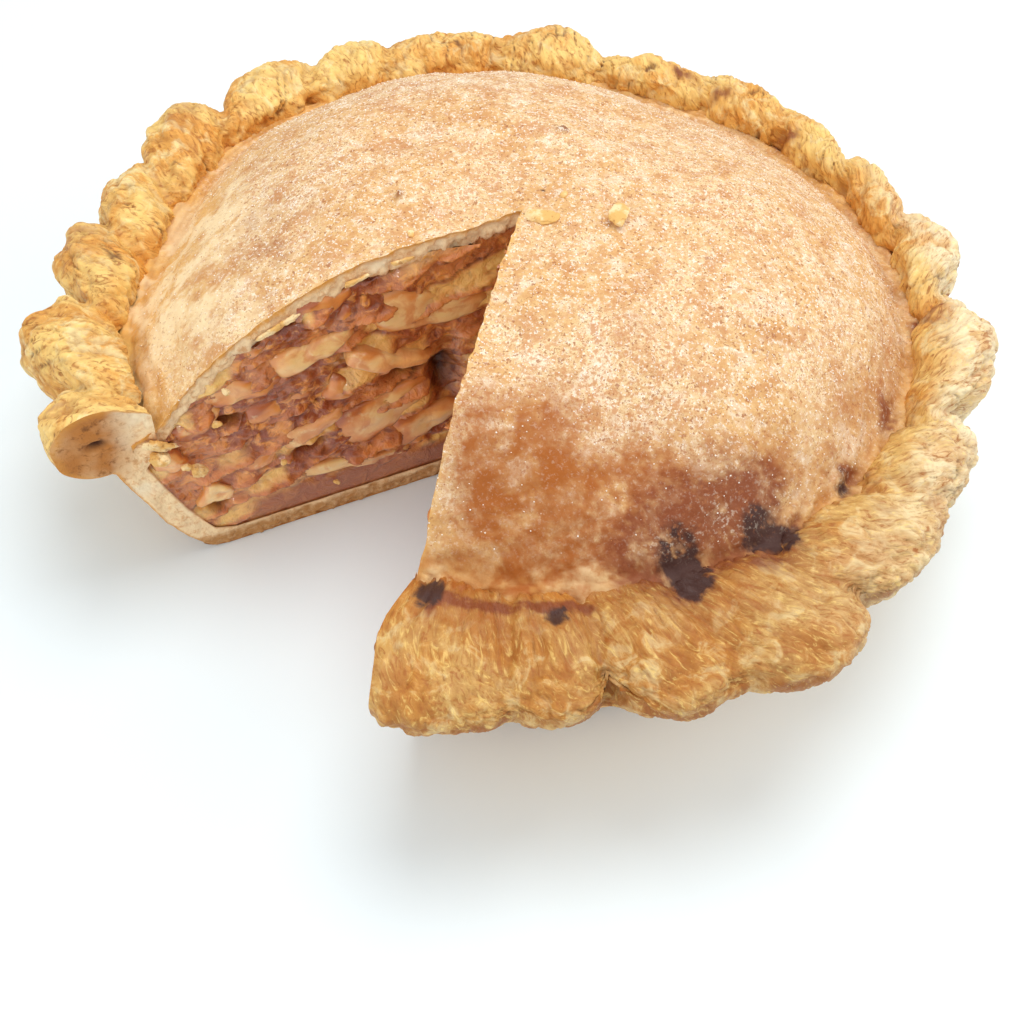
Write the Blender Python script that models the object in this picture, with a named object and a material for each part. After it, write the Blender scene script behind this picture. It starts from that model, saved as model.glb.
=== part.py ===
"""Domed double-crust apple pie with a slice cut out of it.

Units are metres, +Z is up and the pie stands on Z = 0. The origin is the middle of its footprint.
Three solids make it: the bottom crust with its fluted rim, the filling, and the top crust.
"""
from math import cos, exp, pi, radians, sin, sqrt
import random

import bmesh
import bpy
from mathutils import Euler, Matrix, Vector, noise

# Place of the cut's point, where the two cut faces meet, and the azimuths of those faces
CUT_POINT = Vector((-0.0010, -0.0031, 0.0))
CUT_RIGHT = 258.7
CUT_LEFT = 568.3
CUT_SHIFT = 0.0042

# Baked shape of the tin: base, flared wall and the line of the rim
BASE_RADIUS = 0.0917
BASE_THICK = 0.0062
WALL_HEIGHT = 0.0425
WALL_FLARE = 0.0239
WALL_CURVE = 0.58
WALL_THICK = 0.0076
CORNER_ROUND = 0.0030
INNER_CORNER = 0.0045
HUB_RADIUS = 0.0450
OUTER_WALL_HEIGHTS = (0.0012, 0.0052, 0.0130, 0.0220, 0.0310, 0.0395)
INNER_WALL_HEIGHTS = (0.0410, 0.0300, 0.0200, 0.0120)

# Rim: a roll of dough pinched into strands, with a crease from each outer notch to an inner pit
RIM_RADIUS = 0.1180
RIM_HEIGHT = 0.0545
RIM_REACH_OUT = 0.0098
RIM_RISE = 0.0098
RIM_RISE_FRONT = 0.0036
RIM_DROP = 0.0118
STRAND_ROUND = 0.8
STRAND_WAVE = 0.0026
STRAND_WAVE_FRONT = 0.0012
STRAND_LEAN = 6.0
STRAND_SNAKE = 0.4
VALLEY_ROUND = 1.6
VALLEY_FILL = 0.06
NOTCH_FADE = 2.3
CRAG_DEPTH = 0.0012
CRAG_PITCH = 16.0
RIM_FRONT_AZIMUTH = 285.0
RIM_AROUND = (-82.0, -50.0, -22.0, 5.0, 32.0, 58.0, 85.0, 112.0, 138.0, 160.0, 176.0)
COLUMNS_PER_FLUTE = 8

# Flutes: azimuth of each finger notch, how far the rim's line is pressed in there, and how far the
# lobe after it stands out
FLUTES = (
    (254.0, 0.0020, 0.0050), (272.5, 0.0008, 0.0008), (284.0, 0.0110, 0.0034), (298.5, -0.0018, 0.0080),
    (316.0, 0.0033, 0.0018), (334.0, 0.0012, 0.0008), (349.0, 0.0078, 0.0042), (370.5, 0.0056, 0.0048),
    (386.0, 0.0034, -0.0010), (399.0, 0.0040, 0.0002), (411.5, 0.0000, -0.0004), (424.5, -0.0010, -0.0045),
    (440.0, 0.0066, 0.0026), (455.5, 0.0018, 0.0000), (472.0, 0.0020, 0.0018), (484.0, 0.0030, 0.0040),
    (499.5, 0.0050, 0.0046), (515.0, 0.0040, 0.0000), (527.5, 0.0072, 0.0022), (542.0, 0.0110, 0.0052),
    (558.5, 0.0066, 0.0020), (574.0, 0.0025, 0.0020),
)

# Lid: a dome whose foot lies nearer to the cut at the front than at the back, and is tucked in
# further on the left. It is less full at the back right. Azimuths and widths are in degrees.
LID_TOP = 0.0930
LID_THICK = 0.0042
FOOT_RADIUS = 0.1050
FOOT_BACKSET = 0.0115
FOOT_BACK_AZIMUTH = 85.0
FOOT_OVAL = 0.0040
FOOT_TUCK = 0.0065
FOOT_TUCK_AZIMUTH = 166.0
FOOT_TUCK_WIDTH = 18.0
FOOT_HEIGHT = 0.0520
FOOT_FRONT_RISE = 0.0050
FOOT_FRONT_AZIMUTH = 280.0
LID_FULLNESS = 3.4
LID_FULLNESS_SWING = 0.5
LID_FULLEST_AZIMUTH = 28.0
FULLNESS_DIP = 1.5
FULLNESS_DIP_AZIMUTH = 57.0
FULLNESS_DIP_WIDTH = 33.0
LID_EDGE_THICKENING = 0.3
LID_ROWS = (0.13, 0.26, 0.39, 0.51, 0.62, 0.72, 0.81, 0.89, 0.95, 1.0)
LID_UNDER_ROWS = (0.92, 0.83, 0.71, 0.55, 0.36, 0.18)
LID_LUMP = 0.0016
LID_LUMP_SIZE = 0.026

# Swellings and hollows of the lid over the fruit: azimuth, distance from the cut's point, rise, width
LID_SWELLS = (
    (262.0, 0.062, 0.0034, 0.012), (261.0, 0.044, -0.0030, 0.010), (300.0, 0.068, -0.0022, 0.013),
    (335.0, 0.060, 0.0016, 0.018), (75.0, 0.060, 0.0018, 0.022), (150.0, 0.062, 0.0016, 0.020),
    (30.0, 0.030, 0.0012, 0.016), (205.0, 0.080, 0.0018, 0.013),
)

# Steam holes: azimuth and distance from the cut's point
VENTS = ((175.0, 0.0315), (75.0, 0.0356), (353.0, 0.0246))
VENT_RADIUS = 0.0014

# Scraps of dough on the lid: azimuth, distance, length, width, height and turn
LID_SCRAPS = (
    (352.0, 0.0205, 0.0052, 0.0034, 0.0024, 60.0), (335.0, 0.0060, 0.0070, 0.0044, 0.0016, 20.0),
)

# Apple slices in the left cut face: distance from the cut's point, height, length, thickness,
# tilt in degrees, rising outwards
LEFT_SLICES = (
    (0.0260, 0.0680, 0.031, 0.0130, 13.0), (0.0570, 0.0655, 0.021, 0.0075, -16.0),
    (0.0370, 0.0545, 0.027, 0.0080, 20.0), (0.0385, 0.0345, 0.028, 0.0140, -22.0),
    (0.0260, 0.0240, 0.019, 0.0120, -9.0), (0.0480, 0.0165, 0.032, 0.0075, 8.0),
    (0.0600, 0.0370, 0.020, 0.0085, -20.0), (0.0760, 0.0580, 0.020, 0.0080, 2.0),
    (0.0740, 0.0315, 0.014, 0.0090, -18.0), (0.0890, 0.0225, 0.012, 0.0100, 24.0),
    (0.0540, 0.0760, 0.015, 0.0075, -14.0), (0.0900, 0.0480, 0.014, 0.0075, -30.0),
    (0.0445, 0.0725, 0.011, 0.0060, 35.0), (0.0290, 0.0815, 0.018, 0.0060, 6.0),
    (0.0720, 0.0670, 0.014, 0.0060, -14.0), (0.0700, 0.0465, 0.018, 0.0075, -10.0),
    (0.0990, 0.0390, 0.010, 0.0065, 40.0),
)
SLICE_REACH = 0.0060
SLICE_PROUD = 0.0024

# Apple slices in the right cut face, laid in uneven rows from a seeded draw
RIGHT_SLICES = 10
RIGHT_ROW = 4
RIGHT_FIRST = (0.0180, 0.0180)
RIGHT_PITCH = (0.0165, 0.0205)
RIGHT_SEED = 7

# Filling: heights of its rows on the wall, and its distance from the crusts in gaps
FILLING_HEIGHTS = (0.0125, 0.0205, 0.0302, 0.0404)
WALL_GAPS = 1.6
LID_GAPS = 1.4

# Parts keep this clear of each other, and points nearer than the second value are welded
GAP = 0.0003
WELD_DISTANCE = 0.00002


def clear_scene():
    for thing in list(bpy.data.objects):
        bpy.data.objects.remove(thing, do_unlink=True)


def new_collection(name):
    collection = bpy.data.collections.new(name)
    bpy.context.scene.collection.children.link(collection)
    return collection


def dough_material(name, colour, roughness):
    material = bpy.data.materials.new(name)
    material.use_nodes = True
    shader = material.node_tree.nodes["Principled BSDF"]
    shader.inputs["Base Color"].default_value = (*colour, 1.0)
    shader.inputs["Roughness"].default_value = roughness
    shader.inputs["Metallic"].default_value = 0.0
    material.diffuse_color = (*colour, 1.0)
    return material


def tin_circle(radius, azimuth):
    """Distance from the cut's point to a circle of the tin, whose middle lies CUT_SHIFT behind it."""
    turn = radians(azimuth)
    return CUT_SHIFT * sin(turn) + sqrt(radius ** 2 - (CUT_SHIFT * cos(turn)) ** 2)


def wall_radius(height):
    return BASE_RADIUS + WALL_FLARE * (height / WALL_HEIGHT) ** WALL_CURVE


def round_about(azimuth, middle, width):
    """1 at the middle azimuth, falling smoothly to 0 on both sides of it."""
    away = (azimuth - middle + 180.0) % 360.0 - 180.0
    return exp(-(away / width) ** 2)


def lid_foot(azimuth):
    """Distance from the cut's point to the line where the dome meets the rim."""
    back = FOOT_BACKSET * cos(radians(azimuth - FOOT_BACK_AZIMUTH))
    tuck = FOOT_TUCK * round_about(azimuth, FOOT_TUCK_AZIMUTH, FOOT_TUCK_WIDTH)
    return FOOT_RADIUS + back + FOOT_OVAL * cos(radians(2.0 * azimuth)) - tuck


def lid_foot_height(azimuth):
    front = max(0.0, cos(radians(azimuth - FOOT_FRONT_AZIMUTH)))
    return FOOT_HEIGHT + FOOT_FRONT_RISE * front ** 2


def lid_height(distance, azimuth):
    """Height of the lid's outer face: a full dome, with swellings over the fruit."""
    share = min(distance / lid_foot(azimuth), 1.0)
    fullness = LID_FULLNESS + LID_FULLNESS_SWING * cos(radians(azimuth - LID_FULLEST_AZIMUTH))
    fullness -= FULLNESS_DIP * round_about(azimuth, FULLNESS_DIP_AZIMUTH, FULLNESS_DIP_WIDTH)
    low = lid_foot_height(azimuth)
    height = low + (LID_TOP - low) * (1.0 - share ** fullness)
    x = distance * cos(radians(azimuth))
    y = distance * sin(radians(azimuth))
    for swell_azimuth, swell_distance, rise, width in LID_SWELLS:
        away_x = x - swell_distance * cos(radians(swell_azimuth))
        away_y = y - swell_distance * sin(radians(swell_azimuth))
        height += rise * exp(-(away_x ** 2 + away_y ** 2) / (2.0 * width ** 2))
    lumps = noise.noise(Vector((x, y, 0.0)) / LID_LUMP_SIZE)
    return height + LID_LUMP * lumps * (1.0 - share ** 6)


def lid_under(distance, azimuth):
    share = min(distance / lid_foot(azimuth), 1.0)
    return lid_height(distance, azimuth) - LID_THICK * (1.0 + LID_EDGE_THICKENING * share ** 4)


def flute_at(azimuth):
    """Swell of the strand there, from 0 in a notch to 1 on a lobe, and the rim's reach at that place."""
    number = 0
    while number < len(FLUTES) - 2 and azimuth > FLUTES[number + 1][0]:
        number += 1
    start, press, reach = FLUTES[number]
    end, next_press, _ = FLUTES[number + 1]
    phase = (azimuth - start) / (end - start)
    swell = abs(sin(pi * phase)) ** STRAND_ROUND
    pressed = press + (next_press - press) * phase
    return swell, reach * swell - pressed * (1.0 - swell)


def rim_point(azimuth, around):
    """Point on the rim's section: around is 0 degrees at its outer side, 90 on top, 180 at the dome."""
    turn = radians(around)
    inwards = 0.5 - 0.5 * cos(turn)
    lean = STRAND_LEAN * cos(radians(azimuth)) * inwards
    swell, reach = flute_at(azimuth + lean)
    swell = (swell ** VALLEY_ROUND + VALLEY_FILL) ** (1.0 / VALLEY_ROUND)
    crag = CRAG_DEPTH * noise.noise(Vector((radians(azimuth) * CRAG_PITCH, turn * 1.6, 3.0)))
    front = max(0.0, cos(radians(azimuth - RIM_FRONT_AZIMUTH))) ** 2
    wave = STRAND_WAVE + (STRAND_WAVE_FRONT - STRAND_WAVE) * front
    push = reach * (1.0 - inwards) ** NOTCH_FADE + wave * (2.0 * swell - 1.0) * inwards + crag
    middle = tin_circle(RIM_RADIUS, azimuth)
    inner = lid_foot(azimuth) + GAP
    width = RIM_REACH_OUT if cos(turn) > 0.0 else middle - inner
    crest = RIM_RISE + (RIM_RISE_FRONT - RIM_RISE) * front
    rise = crest if sin(turn) > 0.0 else RIM_DROP
    snake = STRAND_SNAKE * reach * max(sin(turn), 0.0) * (1.0 - inwards)
    distance = middle + width * cos(turn) + push * cos(turn) + snake
    height = RIM_HEIGHT + rise * sin(turn) + push * max(sin(turn), 0.0)
    return max(distance, inner), height


def crust_section(azimuth):
    """The bottom crust's outline at one azimuth, from the underside out, up, round the rim and back in.
    Each point has its column step: the plain base and wall need fewer columns than the rim."""
    points = [(tin_circle(HUB_RADIUS, azimuth), 0.0, 4)]
    points.append((tin_circle(BASE_RADIUS - CORNER_ROUND, azimuth), 0.0, 4))
    for height in OUTER_WALL_HEIGHTS:
        points.append((tin_circle(wall_radius(height), azimuth), height, 2))
    for around in RIM_AROUND:
        distance, height = rim_point(azimuth, around)
        points.append((distance, height, 1))
    lip = lid_under(lid_foot(azimuth), azimuth)
    points.append((lid_foot(azimuth) + GAP, lip, 2))
    for height in INNER_WALL_HEIGHTS:
        points.append((tin_circle(wall_radius(height) - WALL_THICK, azimuth), height, 2))
    points.append((tin_circle(BASE_RADIUS - INNER_CORNER, azimuth), BASE_THICK, 4))
    points.append((tin_circle(HUB_RADIUS, azimuth), BASE_THICK, 4))
    return points


def lid_section(azimuth):
    foot = lid_foot(azimuth)
    points = []
    for share in LID_ROWS:
        step = 4 if share < 0.3 else 2
        points.append((foot * share, lid_height(foot * share, azimuth), step))
    for share in (1.0, *LID_UNDER_ROWS):
        step = 4 if share < 0.9 else 2
        points.append((foot * share, lid_under(foot * share, azimuth), step))
    return points[::-1]


def filling_section(azimuth):
    foot = lid_foot(azimuth)
    points = [(tin_circle(HUB_RADIUS, azimuth), BASE_THICK + GAP, 4)]
    points.append((tin_circle(BASE_RADIUS - INNER_CORNER - WALL_GAPS * GAP, azimuth), BASE_THICK + GAP, 4))
    for height in FILLING_HEIGHTS:
        points.append((tin_circle(wall_radius(height) - WALL_THICK - WALL_GAPS * GAP, azimuth), height, 2))
    for share in (0.995, *LID_UNDER_ROWS):
        step = 4 if share < 0.9 else 2
        height = lid_under(foot * share, azimuth) - LID_GAPS * GAP
        points.append((foot * share, height, step))
    return points


def column_azimuths():
    """Azimuths of the sections, the same number in every flute, with both cut faces as the ends."""
    azimuths = []
    for (start, _, _), (end, _, _) in zip(FLUTES, FLUTES[1:]):
        for part in range(COLUMNS_PER_FLUTE):
            azimuths.append(start + (end - start) * part / COLUMNS_PER_FLUTE)
    inside = [a for a in azimuths if CUT_RIGHT + 1.0 < a < CUT_LEFT - 1.0]
    spare = (len(inside) + 1) % 4
    inside = inside[spare // 2:len(inside) - (spare - spare // 2)]
    return [CUT_RIGHT] + inside + [CUT_LEFT]


def place(distance, azimuth, height):
    return CUT_POINT + Vector((distance * cos(radians(azimuth)), distance * sin(radians(azimuth)), height))


def lofted(name, section_at, low, high, material, collection):
    """A loft of unlike sections round the cut's point, closed by the two flat cut faces."""
    azimuths = column_azimuths()
    mesh = bmesh.new()
    bottom = mesh.verts.new(CUT_POINT + Vector((0.0, 0.0, low)))
    top = mesh.verts.new(CUT_POINT + Vector((0.0, 0.0, high)))
    last = len(azimuths) - 1
    rows = []
    for column, azimuth in enumerate(azimuths):
        for row, (distance, height, step) in enumerate(section_at(azimuth)):
            if column == 0:
                rows.append({})
            if column % step == 0:
                rows[row][column] = mesh.verts.new(place(distance, azimuth, height))
    for lower, upper in zip(rows, rows[1:]):
        bridge_rows(mesh, lower, upper, last)
    for row, hub in ((rows[0], bottom), (rows[-1], top)):
        columns = sorted(row)
        for here, after in zip(columns, columns[1:]):
            mesh.faces.new((hub, row[here], row[after]))
    for column in (0, last):
        mesh.faces.new([bottom] + [row[column] for row in rows] + [top])
    bmesh.ops.recalc_face_normals(mesh, faces=mesh.faces)
    mesh.normal_update()
    bmesh.ops.triangulate(mesh, faces=mesh.faces)
    return finished(name, mesh, material, collection)


def bridge_rows(mesh, lower, upper, last):
    """Faces between two rows, where one may have twice the columns of the other."""
    coarse, fine = (lower, upper) if len(lower) <= len(upper) else (upper, lower)
    columns = sorted(coarse)
    for here, after in zip(columns, columns[1:]):
        between = [fine[c] for c in range(here, after + 1) if c in fine]
        mesh.faces.new([coarse[here]] + between + [coarse[after]])


def finished(name, mesh, material, collection):
    data = bpy.data.meshes.new(name)
    mesh.to_mesh(data)
    mesh.free()
    data.materials.append(material)
    thing = bpy.data.objects.new(name, data)
    collection.objects.link(thing)
    data.shade_smooth()
    data.set_sharp_from_angle(angle=radians(50.0))
    return thing


def lens(name, collection, size, matrix):
    """A flattened ball with few sides, for a slice, a scrap or a swelling."""
    mesh = bmesh.new()
    bmesh.ops.create_uvsphere(mesh, u_segments=10, v_segments=6, radius=0.5)
    bmesh.ops.scale(mesh, vec=size, verts=mesh.verts)
    bmesh.ops.transform(mesh, matrix=matrix, verts=mesh.verts)
    data = bpy.data.meshes.new(name)
    mesh.to_mesh(data)
    mesh.free()
    thing = bpy.data.objects.new(name, data)
    collection.objects.link(thing)
    return thing


def boolean_with(target, collection, operation):
    """Joins or cuts the target with all of a collection, applies it and removes the collection."""
    modifier = target.modifiers.new(operation.title(), "BOOLEAN")
    modifier.operation = operation
    modifier.operand_type = "COLLECTION"
    modifier.collection = collection
    modifier.solver = "EXACT"
    graph = bpy.context.evaluated_depsgraph_get()
    graph.update()
    result = bpy.data.meshes.new_from_object(target.evaluated_get(graph))
    target.modifiers.clear()
    old = target.data
    target.data = result
    bpy.data.meshes.remove(old)
    weld_points(result)
    for thing in list(collection.objects):
        bpy.data.objects.remove(thing, do_unlink=True)
    bpy.data.collections.remove(collection)


def weld_points(data):
    """Joins the doubled points that a cut leaves where three faces meet."""
    mesh = bmesh.new()
    mesh.from_mesh(data)
    bmesh.ops.remove_doubles(mesh, verts=mesh.verts, dist=WELD_DISTANCE)
    bmesh.ops.dissolve_degenerate(mesh, dist=WELD_DISTANCE, edges=mesh.edges)
    bmesh.ops.triangulate(mesh, faces=mesh.faces)
    mesh.to_mesh(data)
    mesh.free()


def slice_matrix(azimuth, distance, height, tilt, inset):
    """Frame of an apple slice: X outwards along the cut face, Y square to the face, Z up."""
    side = 1.0 if azimuth == CUT_RIGHT else -1.0
    turn = Matrix.Rotation(radians(azimuth), 4, "Z")
    lean = Matrix.Rotation(-radians(tilt), 4, "Y")
    shift = Matrix.Translation(Vector((distance, side * inset, height)))
    return Matrix.Translation(CUT_POINT) @ turn @ shift @ lean


def add_slices(filling):
    """Fuses the fruit that shows in the two cut faces onto the filling."""
    collection = new_collection("apple_slices")
    inset = SLICE_REACH - SLICE_PROUD
    for number, (distance, height, length, thick, tilt) in enumerate(LEFT_SLICES):
        matrix = slice_matrix(CUT_LEFT, distance, height, tilt, inset)
        lens(f"left_slice_{number}", collection, (length, 2.0 * SLICE_REACH, thick), matrix)
    draw = random.Random(RIGHT_SEED)
    for number in range(RIGHT_SLICES):
        distance = RIGHT_FIRST[0] + RIGHT_PITCH[0] * (number % RIGHT_ROW) + draw.uniform(-0.002, 0.002)
        height = RIGHT_FIRST[1] + RIGHT_PITCH[1] * (number // RIGHT_ROW) + draw.uniform(-0.003, 0.003)
        length = draw.uniform(0.015, 0.021)
        thick = draw.uniform(0.007, 0.011)
        matrix = slice_matrix(CUT_RIGHT, distance, height, draw.uniform(-22.0, 22.0), inset)
        lens(f"right_slice_{number}", collection, (length, 2.0 * SLICE_REACH, thick), matrix)
    boolean_with(filling, collection, "UNION")


def add_lid_scraps(lid):
    collection = new_collection("lid_scraps")
    for number, (azimuth, distance, length, width, height, turn) in enumerate(LID_SCRAPS):
        middle = place(distance, azimuth, lid_height(distance, azimuth) + 0.2 * height)
        matrix = Matrix.Translation(middle) @ Euler((0.0, 0.0, radians(turn))).to_matrix().to_4x4()
        lens(f"scrap_{number}", collection, (length, width, height), matrix)
    boolean_with(lid, collection, "UNION")


def cut_vents(lid):
    collection = new_collection("vent_cutters")
    for number, (azimuth, distance) in enumerate(VENTS):
        mesh = bmesh.new()
        bmesh.ops.create_cone(mesh, cap_ends=True, segments=8, radius1=0.8 * VENT_RADIUS,
                              radius2=VENT_RADIUS, depth=0.020)
        middle = place(distance, azimuth, lid_height(distance, azimuth))
        bmesh.ops.translate(mesh, vec=middle, verts=mesh.verts)
        data = bpy.data.meshes.new(f"vent_{number}")
        mesh.to_mesh(data)
        mesh.free()
        cutter = bpy.data.objects.new(f"vent_{number}", data)
        cutter.hide_render = True
        cutter.display_type = "WIRE"
        collection.objects.link(cutter)
    boolean_with(lid, collection, "DIFFERENCE")


def build_pie():
    clear_scene()
    pie = new_collection("apple_pie")
    baked = dough_material("baked_crust", (0.62, 0.36, 0.13), 0.75)
    sugared = dough_material("sugared_lid", (0.70, 0.45, 0.23), 0.80)
    caramel = dough_material("caramel_filling", (0.42, 0.18, 0.10), 0.30)
    lofted("bottom_crust", crust_section, 0.0, BASE_THICK, baked, pie)
    lid_bottom = lid_under(0.0, CUT_RIGHT)
    filling = lofted("filling", filling_section, BASE_THICK + GAP, lid_bottom - LID_GAPS * GAP, caramel, pie)
    add_slices(filling)
    lid = lofted("top_crust", lid_section, lid_bottom, lid_height(0.0, CUT_RIGHT), sugared, pie)
    add_lid_scraps(lid)
    cut_vents(lid)


build_pie()
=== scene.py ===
# %% [markdown]
# A salted caramel apple pie, cut open.
# The solids of the pie are already packed: a bottom crust with its fluted rim, a filling and a
# domed lid. They have the true size and form but no baked skin, no sugar and no fruit. This
# lesson loads them as a fixed frame, and then makes each one again with its finer shape and its
# finish. First come the tools and the frame itself.

# %% Load the frame
from math import radians

import bpy
import numpy as np
from mathutils import Matrix, Vector, noise


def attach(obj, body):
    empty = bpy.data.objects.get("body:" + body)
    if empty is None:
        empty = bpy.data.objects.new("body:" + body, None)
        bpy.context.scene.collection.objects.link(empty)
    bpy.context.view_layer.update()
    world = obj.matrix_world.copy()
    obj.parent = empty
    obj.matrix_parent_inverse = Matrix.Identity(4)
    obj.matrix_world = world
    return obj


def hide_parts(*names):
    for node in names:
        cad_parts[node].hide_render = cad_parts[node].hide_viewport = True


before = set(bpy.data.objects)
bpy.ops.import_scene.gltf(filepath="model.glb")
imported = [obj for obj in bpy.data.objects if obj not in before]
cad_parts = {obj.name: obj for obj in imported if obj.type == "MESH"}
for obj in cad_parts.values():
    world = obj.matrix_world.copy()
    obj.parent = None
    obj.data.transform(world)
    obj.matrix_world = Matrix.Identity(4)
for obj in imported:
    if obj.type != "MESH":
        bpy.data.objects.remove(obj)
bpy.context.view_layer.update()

# %% [markdown]
# The camera. The pie was seen from a little above its front, with the view turned by a few
# degrees. The place of a camera can be found by moving it until the known round rim, the point of
# the cut and the edge of the base fall on the right places of the picture. That was done once,
# and the values are written down here, so that every later step can be judged against the same
# view.

# %% Camera
VIEW_PITCH = radians(51.784)
VIEW_ROLL = radians(4.115)
VIEW_TARGET = Vector((0.00191, -0.02658, 0.0))
VIEW_DISTANCE = 0.39929
VIEW_LENS = 47.25


def add_camera():
    forward = Vector((0.0, np.cos(VIEW_PITCH), -np.sin(VIEW_PITCH)))
    right = Vector((1.0, 0.0, 0.0))
    up = right.cross(forward)
    turned_right = np.cos(VIEW_ROLL) * right + np.sin(VIEW_ROLL) * up
    turned_up = -np.sin(VIEW_ROLL) * right + np.cos(VIEW_ROLL) * up
    data = bpy.data.cameras.new("pie_view")
    data.lens = VIEW_LENS
    data.sensor_width = 36.0
    data.clip_start = 0.01
    camera = bpy.data.objects.new("pie_view", data)
    axes = Matrix((turned_right, turned_up, -forward)).transposed().to_4x4()
    camera.matrix_world = Matrix.Translation(VIEW_TARGET - forward * VIEW_DISTANCE) @ axes
    bpy.context.scene.collection.objects.link(camera)
    bpy.context.scene.camera = camera
    return camera


print("camera at", [round(v, 3) for v in add_camera().location])

# %% [markdown]
# The form. The pie is drawn as sections round the point of the cut: at each azimuth a few
# functions say how far out and how high the wall, the rim and the lid are. They are the same
# functions and sizes that made the solids, but here they work on whole arrays of numbers at once,
# so that a surface may have a hundred thousand points and still be made in a second. Sculpting
# by hand would look as good but could not be kept true to the solids.

# %% Sizes of the pie
CUT_POINT = np.array((-0.0010, -0.0031, 0.0))
CUT_RIGHT = 258.7
CUT_LEFT = 568.3
CUT_SHIFT = 0.0042
BASE_RADIUS = 0.0917
BASE_THICK = 0.0062
WALL_HEIGHT = 0.0425
WALL_FLARE = 0.0239
WALL_CURVE = 0.58
WALL_THICK = 0.0076
CORNER_ROUND = 0.0030
RIM_RADIUS = 0.1180
RIM_HEIGHT = 0.0545
RIM_REACH_OUT = 0.0098
RIM_RISE = 0.0098
RIM_RISE_FRONT = 0.0036
RIM_DROP = 0.0118
STRAND_ROUND = 0.8
STRAND_WAVE = 0.0026
STRAND_WAVE_FRONT = 0.0012
STRAND_LEAN = 6.0
STRAND_SNAKE = 0.4
VALLEY_ROUND = 1.6
VALLEY_FILL = 0.06
NOTCH_FADE = 2.3
CRAG_DEPTH = 0.0012
CRAG_PITCH = 16.0
GAP = 0.0003
FLUTES = np.array((
    (254.0, 0.0020, 0.0050), (272.5, 0.0008, 0.0008), (284.0, 0.0110, 0.0034), (298.5, -0.0018, 0.0080),
    (316.0, 0.0033, 0.0018), (334.0, 0.0012, 0.0008), (349.0, 0.0078, 0.0042), (370.5, 0.0056, 0.0048),
    (386.0, 0.0034, -0.0010), (399.0, 0.0040, 0.0002), (411.5, 0.0000, -0.0004), (424.5, -0.0010, -0.0045),
    (440.0, 0.0066, 0.0026), (455.5, 0.0018, 0.0000), (472.0, 0.0020, 0.0018), (484.0, 0.0030, 0.0040),
    (499.5, 0.0050, 0.0046), (515.0, 0.0040, 0.0000), (527.5, 0.0072, 0.0022), (542.0, 0.0110, 0.0052),
    (558.5, 0.0066, 0.0020), (574.0, 0.0025, 0.0020),
))
LID_TOP = 0.0930
LID_THICK = 0.0042
FOOT_RADIUS = 0.1050
FOOT_BACKSET = 0.0115
FOOT_BACK_AZIMUTH = 85.0
FOOT_OVAL = 0.0040
FOOT_TUCK = 0.0065
FOOT_TUCK_AZIMUTH = 166.0
FOOT_TUCK_WIDTH = 18.0
FOOT_HEIGHT = 0.0520
FOOT_FRONT_RISE = 0.0050
FOOT_FRONT_AZIMUTH = 280.0
FRONT_AZIMUTH = 285.0
LID_FULLNESS = 3.4
LID_FULLNESS_SWING = 0.5
LID_FULLEST_AZIMUTH = 28.0
FULLNESS_DIP = 1.5
FULLNESS_DIP_AZIMUTH = 57.0
FULLNESS_DIP_WIDTH = 33.0
LID_LUMP = 0.0016
LID_LUMP_SIZE = 0.026
LID_SWELLS = (
    (262.0, 0.062, 0.0034, 0.012), (261.0, 0.044, -0.0030, 0.010), (300.0, 0.068, -0.0022, 0.013),
    (335.0, 0.060, 0.0016, 0.018), (75.0, 0.060, 0.0018, 0.022), (150.0, 0.062, 0.0016, 0.020),
    (30.0, 0.030, 0.0012, 0.016), (205.0, 0.080, 0.0018, 0.013),
)
VENTS = ((175.0, 0.0315), (75.0, 0.0356), (353.0, 0.0246))
SIDES = {
    1: (CUT_RIGHT, np.array((-0.981, 0.196, 0.0))),
    2: (CUT_LEFT, np.array((0.474, -0.880, 0.0))),
}

# %% [markdown]
# Randomness. Nothing baked is even, so almost every surface below is roughened with a smooth
# random field: a value is drawn once for each cell of a grid and blended in between. Adding the
# field to itself at half the size and half the strength gives the broken look of dough and
# crumb. The draws are seeded, so that the pie comes out the same each time.

# %% Smooth random fields
LATTICE = np.random.default_rng(11).permutation(256)
LATTICE_VALUES = np.random.default_rng(12).uniform(-1.0, 1.0, 256)


def rough(points, size, seed=0):
    """Smooth random value from -1 to 1 at each point; size is the width of one lump."""
    scaled = points / size + 17.31 * seed
    cell = np.floor(scaled).astype(int)
    part = scaled - cell
    part = part ** 3 * (part * (part * 6.0 - 15.0) + 10.0)
    total = np.zeros(scaled.shape[:-1])
    for corner in ((x, y, z) for x in (0, 1) for y in (0, 1) for z in (0, 1)):
        at = cell + np.array(corner)
        key = LATTICE[at[..., 0] & 255]
        key = LATTICE[(key + at[..., 1]) & 255]
        key = LATTICE[(key + at[..., 2]) & 255]
        weight = np.prod(np.where(np.array(corner) == 1, part, 1.0 - part), axis=-1)
        total += weight * LATTICE_VALUES[key]
    return total


def rougher(points, size, layers=4, seed=0):
    """The field added to itself at smaller and smaller sizes."""
    total = 0.0
    for layer in range(layers):
        total = total + rough(points, size / 2 ** layer, seed + 3 * layer) / 2 ** layer
    return total / 1.6


def flat_points(across, along):
    """Points for the field from two surface lengths in metres."""
    return np.stack((across, along, np.zeros_like(across)), axis=-1)


def step_up(low, high, value):
    part = np.clip((value - low) / (high - low), 0.0, 1.0)
    return part * part * (3.0 - 2.0 * part)


print("field sample", rough(np.zeros((1, 3)), 1.0))

# %% [markdown]
# The lines of the form: the circle of the tin, the flared wall, the foot of the dome, the dome
# itself and the roll of the rim with its pinched strands.

# %% Sections of the pie
def turn_of(azimuth):
    return np.cos(np.radians(azimuth)), np.sin(np.radians(azimuth))


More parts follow.
